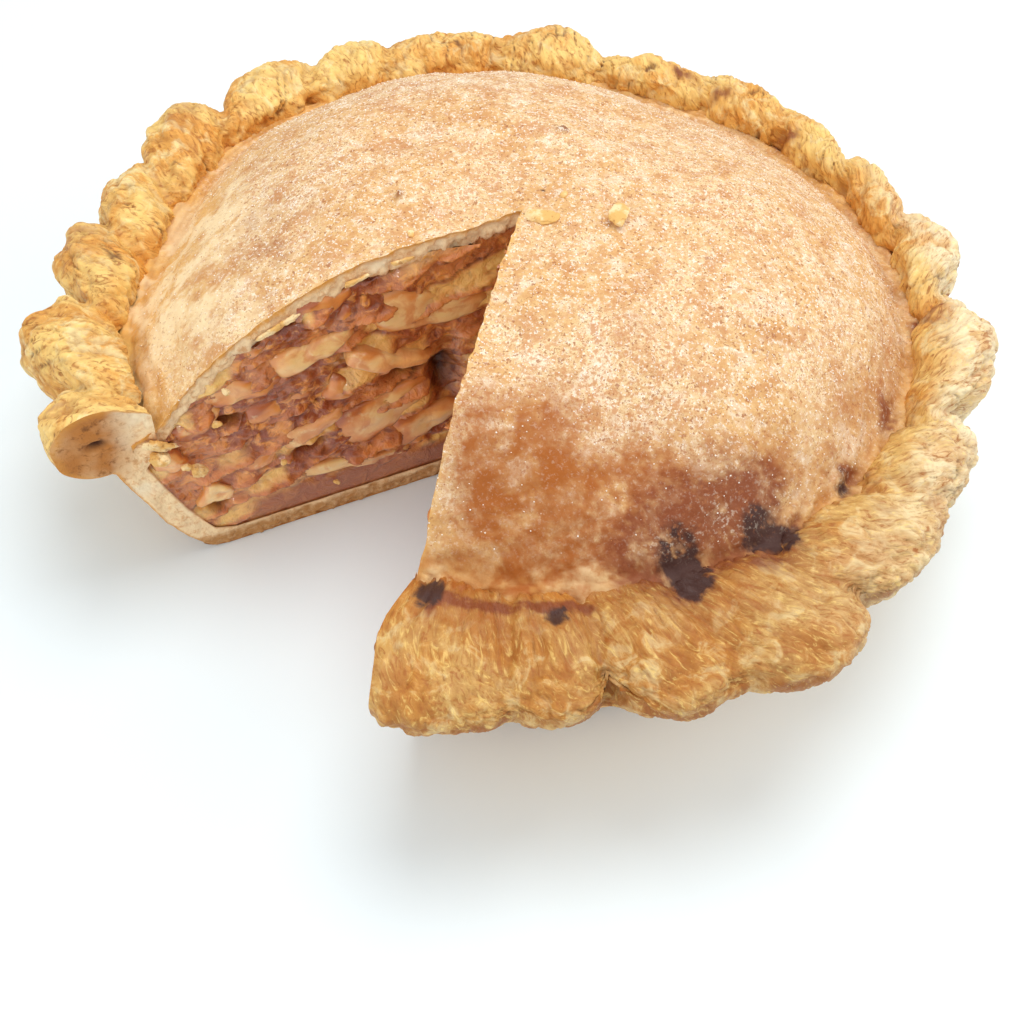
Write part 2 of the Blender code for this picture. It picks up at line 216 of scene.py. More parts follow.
def tin_circle(radius, azimuth):
    across, back = turn_of(azimuth)
    return CUT_SHIFT * back + np.sqrt(radius ** 2 - (CUT_SHIFT * across) ** 2)


def wall_radius(height):
    return BASE_RADIUS + WALL_FLARE * (height / WALL_HEIGHT) ** WALL_CURVE


def round_about(azimuth, middle, width):
    """1 at the middle azimuth, falling smoothly to 0 on both sides of it."""
    away = (azimuth - middle + 180.0) % 360.0 - 180.0
    return np.exp(-(away / width) ** 2)


def facing(azimuth, middle):
    """1 on the side of the pie that looks to the middle azimuth, 0 on its far half."""
    return np.maximum(0.0, turn_of(azimuth - middle)[0]) ** 2


def lid_foot(azimuth):
    """Distance from the cut's point to the line where the dome meets the rim."""
    back = FOOT_BACKSET * turn_of(azimuth - FOOT_BACK_AZIMUTH)[0]
    tuck = FOOT_TUCK * round_about(azimuth, FOOT_TUCK_AZIMUTH, FOOT_TUCK_WIDTH)
    return FOOT_RADIUS + back + FOOT_OVAL * turn_of(2.0 * azimuth)[0] - tuck


def near(points, azimuth, distance, width):
    """1 at a place of the pie, given by its azimuth and distance, falling to 0 around it."""
    across, back = turn_of(azimuth)
    away = (points[..., 0] - distance * across) ** 2 + (points[..., 1] - distance * back) ** 2
    return np.exp(-away / (2.0 * width ** 2))


def solid_noise(points, size):
    """Blender's own noise, which shaped the solids."""
    flat = (points / size).reshape(-1, 3)
    values = [noise.noise(Vector(point)) for point in flat.tolist()]
    return np.array(values).reshape(points.shape[:-1])


def lid_height(distance, azimuth):
    """Height of the lid's outer face over the cut's point."""
    share = np.minimum(distance / lid_foot(azimuth), 1.0)
    fullness = LID_FULLNESS + LID_FULLNESS_SWING * turn_of(azimuth - LID_FULLEST_AZIMUTH)[0]
    fullness = fullness - FULLNESS_DIP * round_about(azimuth, FULLNESS_DIP_AZIMUTH, FULLNESS_DIP_WIDTH)
    low = FOOT_HEIGHT + FOOT_FRONT_RISE * facing(azimuth, FOOT_FRONT_AZIMUTH)
    height = low + (LID_TOP - low) * (1.0 - share ** fullness)
    across, back = turn_of(azimuth)
    points = flat_points(distance * across, distance * back)
    for swell_azimuth, swell_distance, rise, width in LID_SWELLS:
        height = height + rise * near(points, swell_azimuth, swell_distance, width)
    return height + LID_LUMP * solid_noise(points, LID_LUMP_SIZE) * (1.0 - share ** 6)


def lid_under(distance, azimuth):
    share = np.minimum(distance / lid_foot(azimuth), 1.0)
    return lid_height(distance, azimuth) - LID_THICK * (1.0 + 0.3 * share ** 4)


def flute_at(azimuth):
    """Swell of the strand, 0 in a notch and 1 on a lobe, and the reach of the rim there."""
    starts = FLUTES[:, 0]
    number = np.clip(np.searchsorted(starts, azimuth) - 1, 0, len(FLUTES) - 2)
    phase = (azimuth - starts[number]) / (starts[number + 1] - starts[number])
    swell = np.abs(np.sin(np.pi * phase)) ** STRAND_ROUND
    pressed = FLUTES[number, 1] + (FLUTES[number + 1, 1] - FLUTES[number, 1]) * phase
    return swell, FLUTES[number, 2] * swell - pressed * (1.0 - swell)


def rim_at(azimuth, around):
    """Distance, height and swell of the rim: around is 0 at its outer side, 90 on top, 180 inside."""
    turn = np.radians(around)
    inwards = 0.5 - 0.5 * np.cos(turn)
    lean = STRAND_LEAN * turn_of(azimuth)[0] * inwards
    swell, reach = flute_at(azimuth + lean)
    swell = (swell ** VALLEY_ROUND + VALLEY_FILL) ** (1.0 / VALLEY_ROUND)
    crag_points = np.stack((np.radians(azimuth) * CRAG_PITCH, turn * 1.6, np.full_like(turn, 3.0)), axis=-1)
    crag = CRAG_DEPTH * solid_noise(crag_points, 1.0)
    front = facing(azimuth, FRONT_AZIMUTH)
    wave = STRAND_WAVE + (STRAND_WAVE_FRONT - STRAND_WAVE) * front
    push = reach * (1.0 - inwards) ** NOTCH_FADE + wave * (2.0 * swell - 1.0) * inwards + crag
    middle = tin_circle(RIM_RADIUS, azimuth)
    inner = lid_foot(azimuth) + GAP
    width = np.where(np.cos(turn) > 0.0, RIM_REACH_OUT, middle - inner)
    crest = RIM_RISE + (RIM_RISE_FRONT - RIM_RISE) * front
    rise = np.where(np.sin(turn) > 0.0, crest, RIM_DROP)
    top = np.maximum(np.sin(turn), 0.0)
    distance = middle + (width + push) * np.cos(turn) + STRAND_SNAKE * reach * top * (1.0 - inwards)
    height = RIM_HEIGHT + rise * np.sin(turn) + push * top
    return np.maximum(distance, inner), height, swell


def place(distance, azimuth, height):
    across, back = turn_of(azimuth)
    return CUT_POINT + np.stack((distance * across, distance * back, height + 0.0 * distance), axis=-1)


print("lid at its middle", round(float(lid_height(np.array([0.0]), np.array([0.0]))[0]), 4))

# %% [markdown]
# Meshes. Most of the pie is a sheet of points in rows and columns, so one helper turns such an
# array into a mesh and another pushes the points out along the surface. Numbers that say where
# the dough is toasted, burnt, creased or pale are stored on the points as attributes, and the
# materials read them by name.

# %% Mesh helpers
pie_parts = bpy.data.collections.new("pie")
bpy.context.scene.collection.children.link(pie_parts)


def normals_of(grid):
    """Unit normals of a sheet of points, from the steps along its rows and columns."""
    along = np.gradient(grid, axis=1)
    up = np.gradient(grid, axis=0)
    cross = np.cross(along, up)
    length = np.linalg.norm(cross, axis=-1, keepdims=True)
    return cross / np.maximum(length, 1e-12)


def link_mesh(name, points, faces, material, paint=None):
    data = bpy.data.meshes.new(name)
    data.from_pydata(points.reshape(-1, 3).tolist(), [], faces.tolist())
    for key, values in (paint or {}).items():
        layer = data.attributes.new(key, "FLOAT", "POINT")
        layer.data.foreach_set("value", np.ascontiguousarray(values, dtype=np.float32).ravel())
    data.materials.append(material)
    data.shade_smooth()
    thing = bpy.data.objects.new(name, data)
    pie_parts.objects.link(thing)
    return thing


def grid_faces(rows, columns, flip=False):
    index = np.arange(rows * columns).reshape(rows, columns)
    quads = (index[:-1, :-1], index[:-1, 1:], index[1:, 1:], index[1:, :-1])
    if flip:
        quads = quads[::-1]
    return np.stack(quads, axis=-1).reshape(-1, 4)


def grid_mesh(name, grid, material, paint=None, flip=False):
    rows, columns = grid.shape[:2]
    return link_mesh(name, grid, grid_faces(rows, columns, flip), material, paint)


def belongs(piece, node):
    """The piece rides on the pie's one body and stands for a node, whose solid it hides."""
    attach(piece, "root")
    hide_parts(node)
    count = sum(len(face.vertices) - 2 for face in piece.data.polygons)
    print(f"{piece.name}: {count} triangles")
    return piece


# %% [markdown]
# Heat. The oven did not brown the pie evenly: syrup that boiled out along the front seam burnt to
# near black, a reddish haze lies round those spots, and the front of the lid is amber. These
# places are lists of soft patches: azimuth, distance, half width round the pie, half width
# outwards, and strength. The lid and the rim read the same lists, so that a burn runs on from one
# to the other without a break.

# %% Heat
SCORCHES = (
    (298.8, 0.0950, 0.0056, 0.0078, 1.15), (296.6, 0.0895, 0.0034, 0.0040, 0.75),
    (311.5, 0.0940, 0.0064, 0.0040, 0.95), (314.5, 0.0990, 0.0046, 0.0042, 0.85),
    (328.0, 0.0995, 0.0036, 0.0034, 0.72), (261.0, 0.0955, 0.0030, 0.0048, 1.05),
    (279.0, 0.0995, 0.0038, 0.0030, 0.95), (59.0, 0.0096, 0.0010, 0.0006, 0.90),
)
HAZES = (
    (296.0, 0.0880, 0.0140, 0.0110, 1.00), (306.0, 0.0895, 0.0160, 0.0100, 1.05),
    (313.0, 0.0960, 0.0090, 0.0080, 0.90), (330.0, 0.0995, 0.0080, 0.0060, 0.75),
    (344.0, 0.1040, 0.0065, 0.0045, 1.00), (3.5, 0.1140, 0.0060, 0.0042, 0.85),
    (47.0, 0.1165, 0.0045, 0.0028, 0.60), (59.0, 0.1172, 0.0042, 0.0026, 0.75),
    (67.0, 0.1200, 0.0034, 0.0022, 0.70), (265.5, 0.0965, 0.0080, 0.0018, 1.30),
    (273.0, 0.0962, 0.0095, 0.0017, 1.40), (280.0, 0.0970, 0.0065, 0.0019, 1.10),
    (262.0, 0.0995, 0.0018, 0.0056, 0.60), (298.0, 0.1010, 0.0060, 0.0050, 0.40),
    (186.0, 0.0650, 0.0240, 0.0120, 0.24), (165.0, 0.0600, 0.0200, 0.0140, 0.10),
    (330.0, 0.0700, 0.0200, 0.0160, 0.10), (20.0, 0.0700, 0.0250, 0.0160, 0.08),
)
TOASTS = (
    (268.0, 0.0738, 0.0090, 0.0110, 1.00), (276.0, 0.0740, 0.0130, 0.0095, 0.95),
    (298.0, 0.0790, 0.0150, 0.0100, 0.75), (286.0, 0.0820, 0.0140, 0.0080, 0.75),
    (264.0, 0.0620, 0.0060, 0.0080, 0.60), (282.0, 0.0560, 0.0080, 0.0060, 0.45),
    (277.0, 0.0650, 0.0100, 0.0080, 0.45), (295.0, 0.0695, 0.0090, 0.0070, 0.40),
    (310.0, 0.0468, 0.0070, 0.0060, 0.30), (315.0, 0.0880, 0.0160, 0.0080, 0.60),
    (335.0, 0.0940, 0.0160, 0.0070, 0.50), (352.0, 0.1010, 0.0140, 0.0060, 0.45),
    (272.0, 0.1010, 0.0220, 0.0055, 0.65), (270.0, 0.0905, 0.0240, 0.0060, 0.75),
    (187.8, 0.0668, 0.0140, 0.0090, 0.16), (12.0, 0.1050, 0.0120, 0.0050, 0.35),
    (300.0, 0.1060, 0.0180, 0.0060, 0.40),
)


def patch(points, azimuth, distance, wide, deep):
    """1 at a place of the pie, falling to 0 over a width round the pie and a width outwards."""
    across, back = turn_of(azimuth)
    outwards = points[..., 0] * across + points[..., 1] * back - distance
    aside = points[..., 1] * across - points[..., 0] * back
    return np.exp(-(outwards / deep) ** 2 - (aside / wide) ** 2)


def heat_of(flat):
    """Burn, haze and toast at each point of a sheet, with uneven borders."""
    uneven = 1.0 + 0.60 * rougher(flat, 0.0070, 4, 91) + 0.35 * rough(flat, 0.0014, 92)
    found = {}
    for key, patches in (("burn", SCORCHES), ("haze", HAZES), ("toast", TOASTS)):
        total = sum(strength * patch(flat, *shape) for *shape, strength in patches)
        found[key] = np.clip(total * uneven, 0.0, 1.0)
    return found


print("heat:", len(SCORCHES), "burns,", len(HAZES), "hazes,", len(TOASTS), "toasted places")

# %% [markdown]
# Material helpers. A finish is a small tree of nodes: noise at a few scales decides where one
# tone goes over into another, and the attributes of the mesh say where the oven was hottest.
# These helpers only shorten the writing of such trees. Tones are written as the values that a
# colour picker shows and are turned into the linear values that Blender works in.

# %% Material helpers
def tone(red, green, blue):
    values = np.array((red, green, blue)) / 255.0
    linear = np.where(values <= 0.04045, values / 12.92, ((values + 0.055) / 1.055) ** 2.4)
    return (*[float(v) for v in linear], 1.0)


class Finish:
    """A material and short ways to add nodes to it."""

    def __init__(self, name, roughness):
        self.material = bpy.data.materials.new(name)
        self.material.use_nodes = True
        self.tree = self.material.node_tree
        self.shader = self.tree.nodes["Principled BSDF"]
        self.shader.inputs["Roughness"].default_value = roughness
        self.place_of = self.tree.nodes.new("ShaderNodeTexCoord").outputs["Object"]

    def link(self, source, socket):
        if hasattr(source, "is_output"):
            self.tree.links.new(source, socket)
        else:
            socket.default_value = source

    def noise(self, size, detail, rough, warp=0.0, places=None):
        """Noise with lumps of about the given size in metres."""
        node = self.tree.nodes.new("ShaderNodeTexNoise")
        node.inputs["Scale"].default_value = 0.5 / size
        node.inputs["Detail"].default_value = detail
        node.inputs["Roughness"].default_value = rough
        node.inputs["Distortion"].default_value = warp
        self.tree.links.new(self.place_of if places is None else places, node.inputs["Vector"])
        return node.outputs["Fac"]

    def wrinkles(self, size, stretch, warp):
        """Noise drawn out over the strands of the rim, in the rim's own two lengths."""
        joined = self.tree.nodes.new("ShaderNodeCombineXYZ")
        mapping = self.tree.nodes.new("ShaderNodeMapping")
        mapping.inputs["Scale"].default_value = (1.0, stretch, 1.0)
        self.tree.links.new(self.painted("strand"), joined.inputs["X"])
        self.tree.links.new(self.painted("girth"), joined.inputs["Y"])
        self.tree.links.new(joined.outputs["Vector"], mapping.inputs["Vector"])
        return self.noise(size, 4.0, 0.6, warp, mapping.outputs["Vector"])

    def painted(self, key):
        node = self.tree.nodes.new("ShaderNodeAttribute")
        node.attribute_name = key
        return node.outputs["Fac"]

    def between(self, value, low, high, start=0.0, end=1.0):
        node = self.tree.nodes.new("ShaderNodeMapRange")
        node.interpolation_type = "SMOOTHSTEP"
        for socket, number in zip(("From Min", "From Max", "To Min", "To Max"), (low, high, start, end)):
            node.inputs[socket].default_value = number
        self.link(value, node.inputs["Value"])
        return node.outputs["Result"]

    def times(self, first, second):
        node = self.tree.nodes.new("ShaderNodeMath")
        node.operation = "MULTIPLY"
        node.use_clamp = True
        self.link(first, node.inputs[0])
        self.link(second, node.inputs[1])
        return node.outputs[0]

    def over(self, under, above, factor):
        """One colour laid over another where the factor is high."""
        node = self.tree.nodes.new("ShaderNodeMix")
        node.data_type = "RGBA"
        self.link(factor, node.inputs[0])
        self.link(under, node.inputs[6])
        self.link(above, node.inputs[7])
        return node.outputs[2]

    def bump(self, height, strength, distance, below=None):
        node = self.tree.nodes.new("ShaderNodeBump")
        node.inputs["Strength"].default_value = strength
        node.inputs["Distance"].default_value = distance
        self.link(height, node.inputs["Height"])
        if below:
            self.tree.links.new(below, node.inputs["Normal"])
        return node.outputs["Normal"]

    def heated(self, dough, fine):
        """Lays the oven's amber, its reddish haze and its near black over a dough tone."""
        toast = self.times(self.painted("toast"), self.between(fine, 0.28, 0.62, 0.62, 1.0))
        dough = self.over(dough, tone(168, 90, 14), toast)
        uneven = self.between(fine, 0.34, 0.66, 0.60, 1.35)
        haze = self.between(self.times(self.painted("haze"), uneven), 0.05, 0.95, 0.0, 0.90)
        dough = self.over(dough, tone(132, 60, 20), haze)
        burn = self.between(self.times(self.painted("burn"), uneven), 0.22, 0.66, 0.0, 0.94)
        return self.over(dough, tone(60, 30, 24), burn)

    def shade(self, **values):
        """Sets or links inputs of the shader: coat_weight stands for Coat Weight, and so on."""
        for key, value in values.items():
            self.link(value, self.shader.inputs[key.replace("_", " ").title()])

    def finish(self, colour, normal=None, roughness=None):
        self.link(colour, self.shader.inputs["Base Color"])
        if normal:
            self.tree.links.new(normal, self.shader.inputs["Normal"])
        if roughness:
            self.tree.links.new(roughness, self.shader.inputs["Roughness"])
        return self.material


# %% [markdown]
# The baked rim. On the real pie this is plain dough that was brushed and pinched: golden yellow
# where it is smooth, brown on the tips that met the hottest air and covered with fine flaky
# wrinkles. Light and shade are painted in as well: painted shade in the folds, the torn folds and
# the wrinkle valleys, on the roll's lower outer side and on the front, painted light that makes
# the right side paler, and painted highlights on the wrinkle crests and in pale dapples. The tones
# follow the attributes low, pale, tip, pit, fold and tear and the oven's heat, broken up with
# noise so that no border is clean. The wrinkles are noise drawn out along the strands: the mesh
# stores its own two lengths, strand and girth, for them.

# %% Rim finish
def baked_rim_finish():
    f = Finish("baked_rim", 0.60)
    patches = f.noise(0.010, 6.0, 0.62, 0.6)
    dapple = f.noise(0.0034, 5.0, 0.66, 0.8)
    fine = f.noise(0.0010, 5.0, 0.65, 0.5)
    wrinkles = f.wrinkles(0.0010, 0.50, 1.8)
    gold = f.over(tone(255, 214, 126), tone(234, 168, 76), f.between(patches, 0.44, 0.60))
    # Painted highlights: pale dapples over the gold.
    gold = f.over(gold, tone(255, 232, 168), f.between(dapple, 0.50, 0.66, 0.0, 0.85))
    # Painted shade on the roll's lower outer side and all over the front, from the low attribute.
    low = f.times(f.painted("low"), f.between(dapple, 0.64, 0.38, 0.45, 1.0))
    gold = f.over(gold, tone(160, 92, 14), low)
    # Painted light: the rim's right side made paler, from the pale attribute.
    pale = f.times(f.painted("pale"), f.between(dapple, 0.34, 0.60, 0.35, 1.0))
    gold = f.over(gold, tone(255, 236, 190), pale)
    tip = f.times(f.painted("tip"), f.between(dapple, 0.40, 0.62, 0.10, 0.75))
    gold = f.over(gold, tone(190, 116, 44), tip)
    gold = f.over(gold, tone(238, 164, 62), f.times(f.painted("pit"), 0.8))
    # Painted shade in the folds and creases, from the fold attribute.
    gold = f.over(gold, tone(156, 92, 30), f.times(f.painted("fold"), 0.55))
    # Painted shade in the wrinkle valleys, then painted highlights on the wrinkle crests.
    wrinkle_valley_shade = f.times(f.between(wrinkles, 0.49, 0.33), f.between(dapple, 0.62, 0.40, 0.35, 0.85))
    gold = f.over(gold, tone(170, 98, 30), wrinkle_valley_shade)
    gold = f.over(gold, tone(254, 218, 128), f.between(wrinkles, 0.54, 0.70, 0.0, 0.55))
    gold = f.heated(gold, dapple)
    # Painted shade along the deepest torn folds, from the tear attribute.
    gold = f.over(gold, tone(104, 60, 26), f.times(f.painted("tear"), 0.80))
    normal = f.bump(wrinkles, 0.60, 0.0009, f.bump(fine, 0.40, 0.0005))
    return f.finish(gold, normal, f.between(patches, 0.3, 0.7, 0.46, 0.66))


BAKED_RIM = baked_rim_finish()

# %% [markdown]
# The lid's finish. A sugared lid has three things on it at once: the dough, golden to amber where
# the oven browned it; a dust of cinnamon in pinkish-brown clouds; and sugar that stayed white.
# The clouds are wide noise, the single grains are fine noise cut at a threshold, and the places
# that are toasted or burnt come from the mesh. The coarsest grains are made as real crystals
# further down.

# %% Lid finish
def sugared_lid_finish():
    f = Finish("sugared_lid", 0.66)
    clouds = f.noise(0.013, 5.0, 0.62, 0.8)
    mottle = f.noise(0.0042, 4.0, 0.62, 0.4)
    stipple = f.noise(0.0015, 4.0, 0.70)
    specks = f.noise(0.00062, 3.0, 0.70)
    grains = f.noise(0.00050, 3.0, 0.65)
    dough = f.over(tone(247, 219, 166), tone(230, 186, 122), f.between(clouds, 0.42, 0.60))
    dough = f.over(dough, tone(206, 144, 84), f.between(mottle, 0.48, 0.66, 0.0, 0.75))
    white = f.times(f.painted("dust"), f.between(mottle, 0.46, 0.32, 0.0, 0.65))
    dough = f.over(dough, tone(255, 240, 212), white)
    dough = f.over(dough, tone(206, 146, 88), f.between(stipple, 0.51, 0.63, 0.0, 0.60))
    pale = f.times(f.painted("dust"), f.between(stipple, 0.46, 0.34, 0.0, 0.60))
    dough = f.over(dough, tone(255, 242, 216), pale)
    dust = f.times(f.painted("dust"), f.between(clouds, 0.60, 0.38, 0.45, 1.0))
    dust = f.times(dust, f.between(specks, 0.44, 0.60, 0.05, 0.85))
    dough = f.over(dough, tone(206, 142, 90), dust)
    gold = f.times(f.painted("gold"), f.between(clouds, 0.30, 0.6, 0.55, 1.0))
    gold = f.times(gold, f.between(mottle, 0.34, 0.60, 0.35, 0.95))
    dough = f.over(dough, tone(244, 190, 98), gold)
    dough = f.over(dough, tone(252, 226, 178), f.painted("cream"))
    dough = f.heated(dough, mottle)
    sugar = f.times(f.between(grains, 0.54, 0.66), f.painted("dust"))
    sugar = f.times(sugar, f.between(f.painted("toast"), 0.0, 0.8, 1.0, 0.22))
    dough = f.over(dough, tone(255, 242, 220), f.times(sugar, 0.80))
    cinnamon = f.times(f.between(specks, 0.45, 0.34), f.painted("dust"))
    dough = f.over(dough, tone(172, 104, 58), f.times(cinnamon, 0.85))
    normal = f.bump(specks, 0.55, 0.0004, f.bump(mottle, 0.25, 0.0008))
    return f.finish(dough, normal, f.between(clouds, 0.3, 0.7, 0.58, 0.76))


SUGARED_LID = sugared_lid_finish()

# %% [markdown]
# Cut dough. Where the knife went through, the crust is pale cream, with a browned skin outside
# and a porous grain. The attribute skin is 1 at the baked faces and 0 in the middle, bake is high
# in the thick rim, which is tan to brown right through, base marks the browner dough at the very
# bottom, wet marks the side that lay on the caramel, and hole is painted shade, near black, inside
# the small baked hole.

# %% Cut dough finish
def cut_dough_finish():
    f = Finish("cut_dough", 0.82)
    pores = f.noise(0.0011, 5.0, 0.70, 0.3)
    wide = f.noise(0.006, 3.0, 0.5)
    crumb = f.over(tone(255, 224, 176), tone(234, 182, 126), f.between(pores, 0.46, 0.66))
    crumb = f.over(crumb, tone(255, 234, 196), f.between(wide, 0.5, 0.7))
    bake = f.times(f.painted("bake"), f.between(wide, 0.25, 0.6, 0.6, 1.0))
    crumb = f.over(crumb, tone(186, 118, 50), bake)
    crumb = f.over(crumb, tone(136, 82, 34), f.times(bake, f.between(pores, 0.50, 0.70)))
    skin = f.times(f.painted("skin"), f.between(pores, 0.30, 0.55, 0.55, 1.0))
    crumb = f.over(crumb, tone(218, 150, 62), skin)
    scorched = f.times(f.painted("base"), f.between(pores, 0.34, 0.56, 0.70, 1.0))
    crumb = f.over(crumb, tone(190, 136, 78), scorched)
    # Painted shade: the inside of the baked hole coloured near black.
    crumb = f.over(crumb, tone(60, 26, 14), f.painted("hole"))
    wet = f.times(f.painted("wet"), 0.75)
    crumb = f.over(crumb, tone(198, 130, 72), wet)
    return f.finish(crumb, f.bump(pores, 0.7, 0.0007))


CUT_DOUGH = cut_dough_finish()

# %% [markdown]
# The bottom crust's wall and base. It took the tin's smooth shape, so it is plainer than the rim:
# light golden on the wall, browner and rough underneath.

# %% Wall finish
def baked_wall_finish():
    f = Finish("baked_wall", 0.66)
    patches = f.noise(0.012, 6.0, 0.6, 0.5)
    fine = f.noise(0.0014, 5.0, 0.65)
    crust = f.over(tone(232, 184, 118), tone(204, 142, 70), f.between(patches, 0.40, 0.64))
    under = f.times(f.painted("under"), f.between(patches, 0.3, 0.55, 0.55, 1.0))
    crust = f.over(crust, tone(168, 112, 54), under)
    crust = f.over(crust, tone(244, 212, 158), f.between(fine, 0.55, 0.75))
    crust = f.over(crust, tone(140, 84, 34), f.between(fine, 0.36, 0.24))
    return f.finish(crust, f.bump(fine, 0.5, 0.0005))


BAKED_WALL = baked_wall_finish()

# %% [markdown]
# The fluted rim. Fingers pinched the roll of dough into strands, with a crease that runs from
# each outer notch over the top to an inner pit. Four reliefs are added to the plain strand:
# pillows and blisters, low ridges that slant over them, thin folds that run along each strand,
# where layers of the dough came apart, and finer folds and wrinkles between those. A fold is a
# narrow valley along the line where a random field passes through zero, which looks more like
# leaves of dough than a plain ripple does. At the right cut the rim's end swells into the gap.

# %% Fluted rim
RIM_COLUMNS = 1290
RIM_ROWS = 77
RIM_FRONT = 290.0
ROLL_RADIUS = 0.0125
LUMP_RISE = 0.0011
BLISTER_RISE = 0.00045
LONG_FOLD_DEPTH = 0.00085
LONG_FOLD_EASE = 0.00030
SHORT_FOLD_DEPTH = 0.00055
RIDGE_RISE = 0.0013
CREASE_DEPTH = 0.0009
WRINKLE_RISE = 0.00022
WRINKLE_DEPTH = 0.00045
RIM_PUFF = 0.0004
BULGE = 0.0034
BULGE_AT = 0.1080
BULGE_LENGTH = 0.0130
BULGE_FADE = 0.0110
PIT_WIDE = 0.0050
PIT_DEEP = 0.0042
RIM_PITS = ((279.0, 0.0935), (301.0, 0.0925), (332.0, 0.1000), (347.0, 0.1052), (5.0, 0.1150), (33.0, 0.1156),
            (47.0, 0.1170), (59.0, 0.1176), (67.0, 0.1210), (145.0, 0.1125), (160.0, 0.1085), (174.0, 0.1085),
            (188.0, 0.1090))


def end_bulge(distance, height):
    """How far the rim's end beside the right cut swells into the gap."""
    return BULGE * np.exp(-((distance - BULGE_AT) / BULGE_LENGTH) ** 2) * step_up(0.0490, 0.0570, height)


def folds(points, size, seed, width=0.16):
    """1 along thin winding lines, falling to 0 between them."""
    return np.exp(-np.abs(rough(points, size, seed)) / width)


def rim_grid():
    azimuths = np.linspace(CUT_RIGHT, CUT_LEFT, RIM_COLUMNS)
    arounds = np.linspace(-96.0, 178.0, RIM_ROWS)
    azimuth, around = np.meshgrid(azimuths, arounds)
    distance, height, swell = rim_at(azimuth, around)
    grid = place(distance, azimuth, height)
    inwards = 0.5 - 0.5 * np.cos(np.radians(around))
    lean = STRAND_LEAN * turn_of(azimuth)[0] * inwards
    strand = np.radians(azimuth + lean) * RIM_RADIUS
    girth = np.radians(around) * ROLL_RADIUS
    surface = flat_points(strand, girth)
    warp = 0.0022 * rougher(surface, 0.008, 3, 5)
    long_folds = folds(flat_points(strand + warp, 0.30 * girth + warp), 0.0030, 1)
    short_folds = folds(flat_points(0.8 * strand - warp, 0.55 * girth + 0.5 * strand), 0.0022, 2, 0.22)
    lumps = rougher(surface, 0.0080, 3, 8)
    blisters = rougher(surface, 0.0034, 2, 9)
    crease = np.exp(-((swell - 0.17) / 0.24) ** 2)
    front = facing(azimuth, RIM_FRONT)
    calm = step_up(-90.0, -50.0, around)
    fold_depth = LONG_FOLD_DEPTH - LONG_FOLD_EASE * front
    push = LUMP_RISE * lumps + BLISTER_RISE * blisters * calm
    push = push - calm * (fold_depth * long_folds + SHORT_FOLD_DEPTH * short_folds)
    ridges = rough(flat_points(strand - 0.7 * girth, 0.25 * girth), 0.0070, 11)
    push = push + RIDGE_RISE * ridges * calm * (1.0 - 0.6 * front)
    push = push - CREASE_DEPTH * crease * calm * (1.0 + 0.6 * blisters) + RIM_PUFF
    edge = np.minimum(azimuth - CUT_RIGHT, CUT_LEFT - azimuth)
    creases = folds(flat_points(strand + 0.5 * girth + warp, 0.30 * girth), 0.0017, 12, 0.30)
    push = push + calm * (WRINKLE_RISE - WRINKLE_DEPTH * creases)
    push = push * step_up(0.0, 1.5, edge)
    grid = grid + normals_of(grid) * push[..., None]
    from_cut = np.radians(azimuth - CUT_RIGHT) * distance
    into_gap = end_bulge(distance, height) * np.exp(-(from_cut / BULGE_FADE) ** 2)
    grid = grid + SIDES[1][1] * into_gap[..., None]
    flat = grid - CUT_POINT
    pits = sum(patch(flat, a, d, PIT_WIDE, PIT_DEEP) for a, d in RIM_PITS)
    top = step_up(5.0, 50.0, around) * (1.0 - step_up(80.0, 130.0, around))
    spots = rough(surface, 0.0130, 9)
    paint = heat_of(flat)
    paint["strand"] = strand + 0.4 * girth + 0.5 * warp
    paint["girth"] = girth + 0.5 * warp
    # The fold attribute is painted shade in the folds and creases, and on the front in the hollows between
    # lumps.
    lines = (1.0 - 0.45 * front) * long_folds ** 1.6 * (0.7 + 0.6 * blisters) + 0.5 * short_folds ** 2
    lines = lines + 0.45 * creases ** 2
    hollows = step_up(0.1, -0.6, lumps + 0.5 * blisters)
    paint["fold"] = np.clip(lines + 0.20 * crease + 0.45 * front * hollows, 0, 1)
    paint["tip"] = np.clip(top * step_up(0.15, 0.7, spots) * swell * (1.0 - 0.8 * front), 0, 1)
    paint["pit"] = np.clip(pits * (1.0 + 0.5 * lumps), 0, 1)
    # The low attribute is painted shade on the roll's lower outer side and all over its front.
    paint["low"] = np.clip((0.40 + 0.60 * front) * step_up(25.0, -30.0, around) + 0.80 * front, 0, 1)
    # The pale attribute is painted light that makes the rim's right side paler.
    pale_side = step_up(298.0, 352.0, azimuth + 6.0 * lumps) * step_up(402.0, 375.0, azimuth)
    paint["pale"] = np.clip(pale_side * (1.0 - step_up(80.0, 130.0, around)), 0, 1)
    # The tear attribute is painted shade along the deepest long folds.
    torn_here = step_up(0.25, 0.75, rough(surface, 0.0090, 10)) * (1.0 - 0.9 * front)
    paint["tear"] = np.clip(step_up(0.55, 0.9, long_folds) * torn_here, 0, 1)
    return azimuths, arounds, grid, paint


RIM_AZIMUTHS, RIM_AROUNDS, RIM_GRID, rim_paint = rim_grid()
fluted_rim = grid_mesh("fluted_rim", RIM_GRID, BAKED_RIM, rim_paint, flip=True)
belongs(fluted_rim, "bottom_crust")

# %% [markdown]
# The wall and the base below the rim. This is one more sheet of points, from the middle of the
# underside out to the corner, up the flared wall and in under the rim, so that the pie is closed
# and looks right from below and behind as well.

# %% Wall and base
WALL_COLUMNS = 520
BASE_START = 0.002
CORNER_HEIGHT = 0.0040


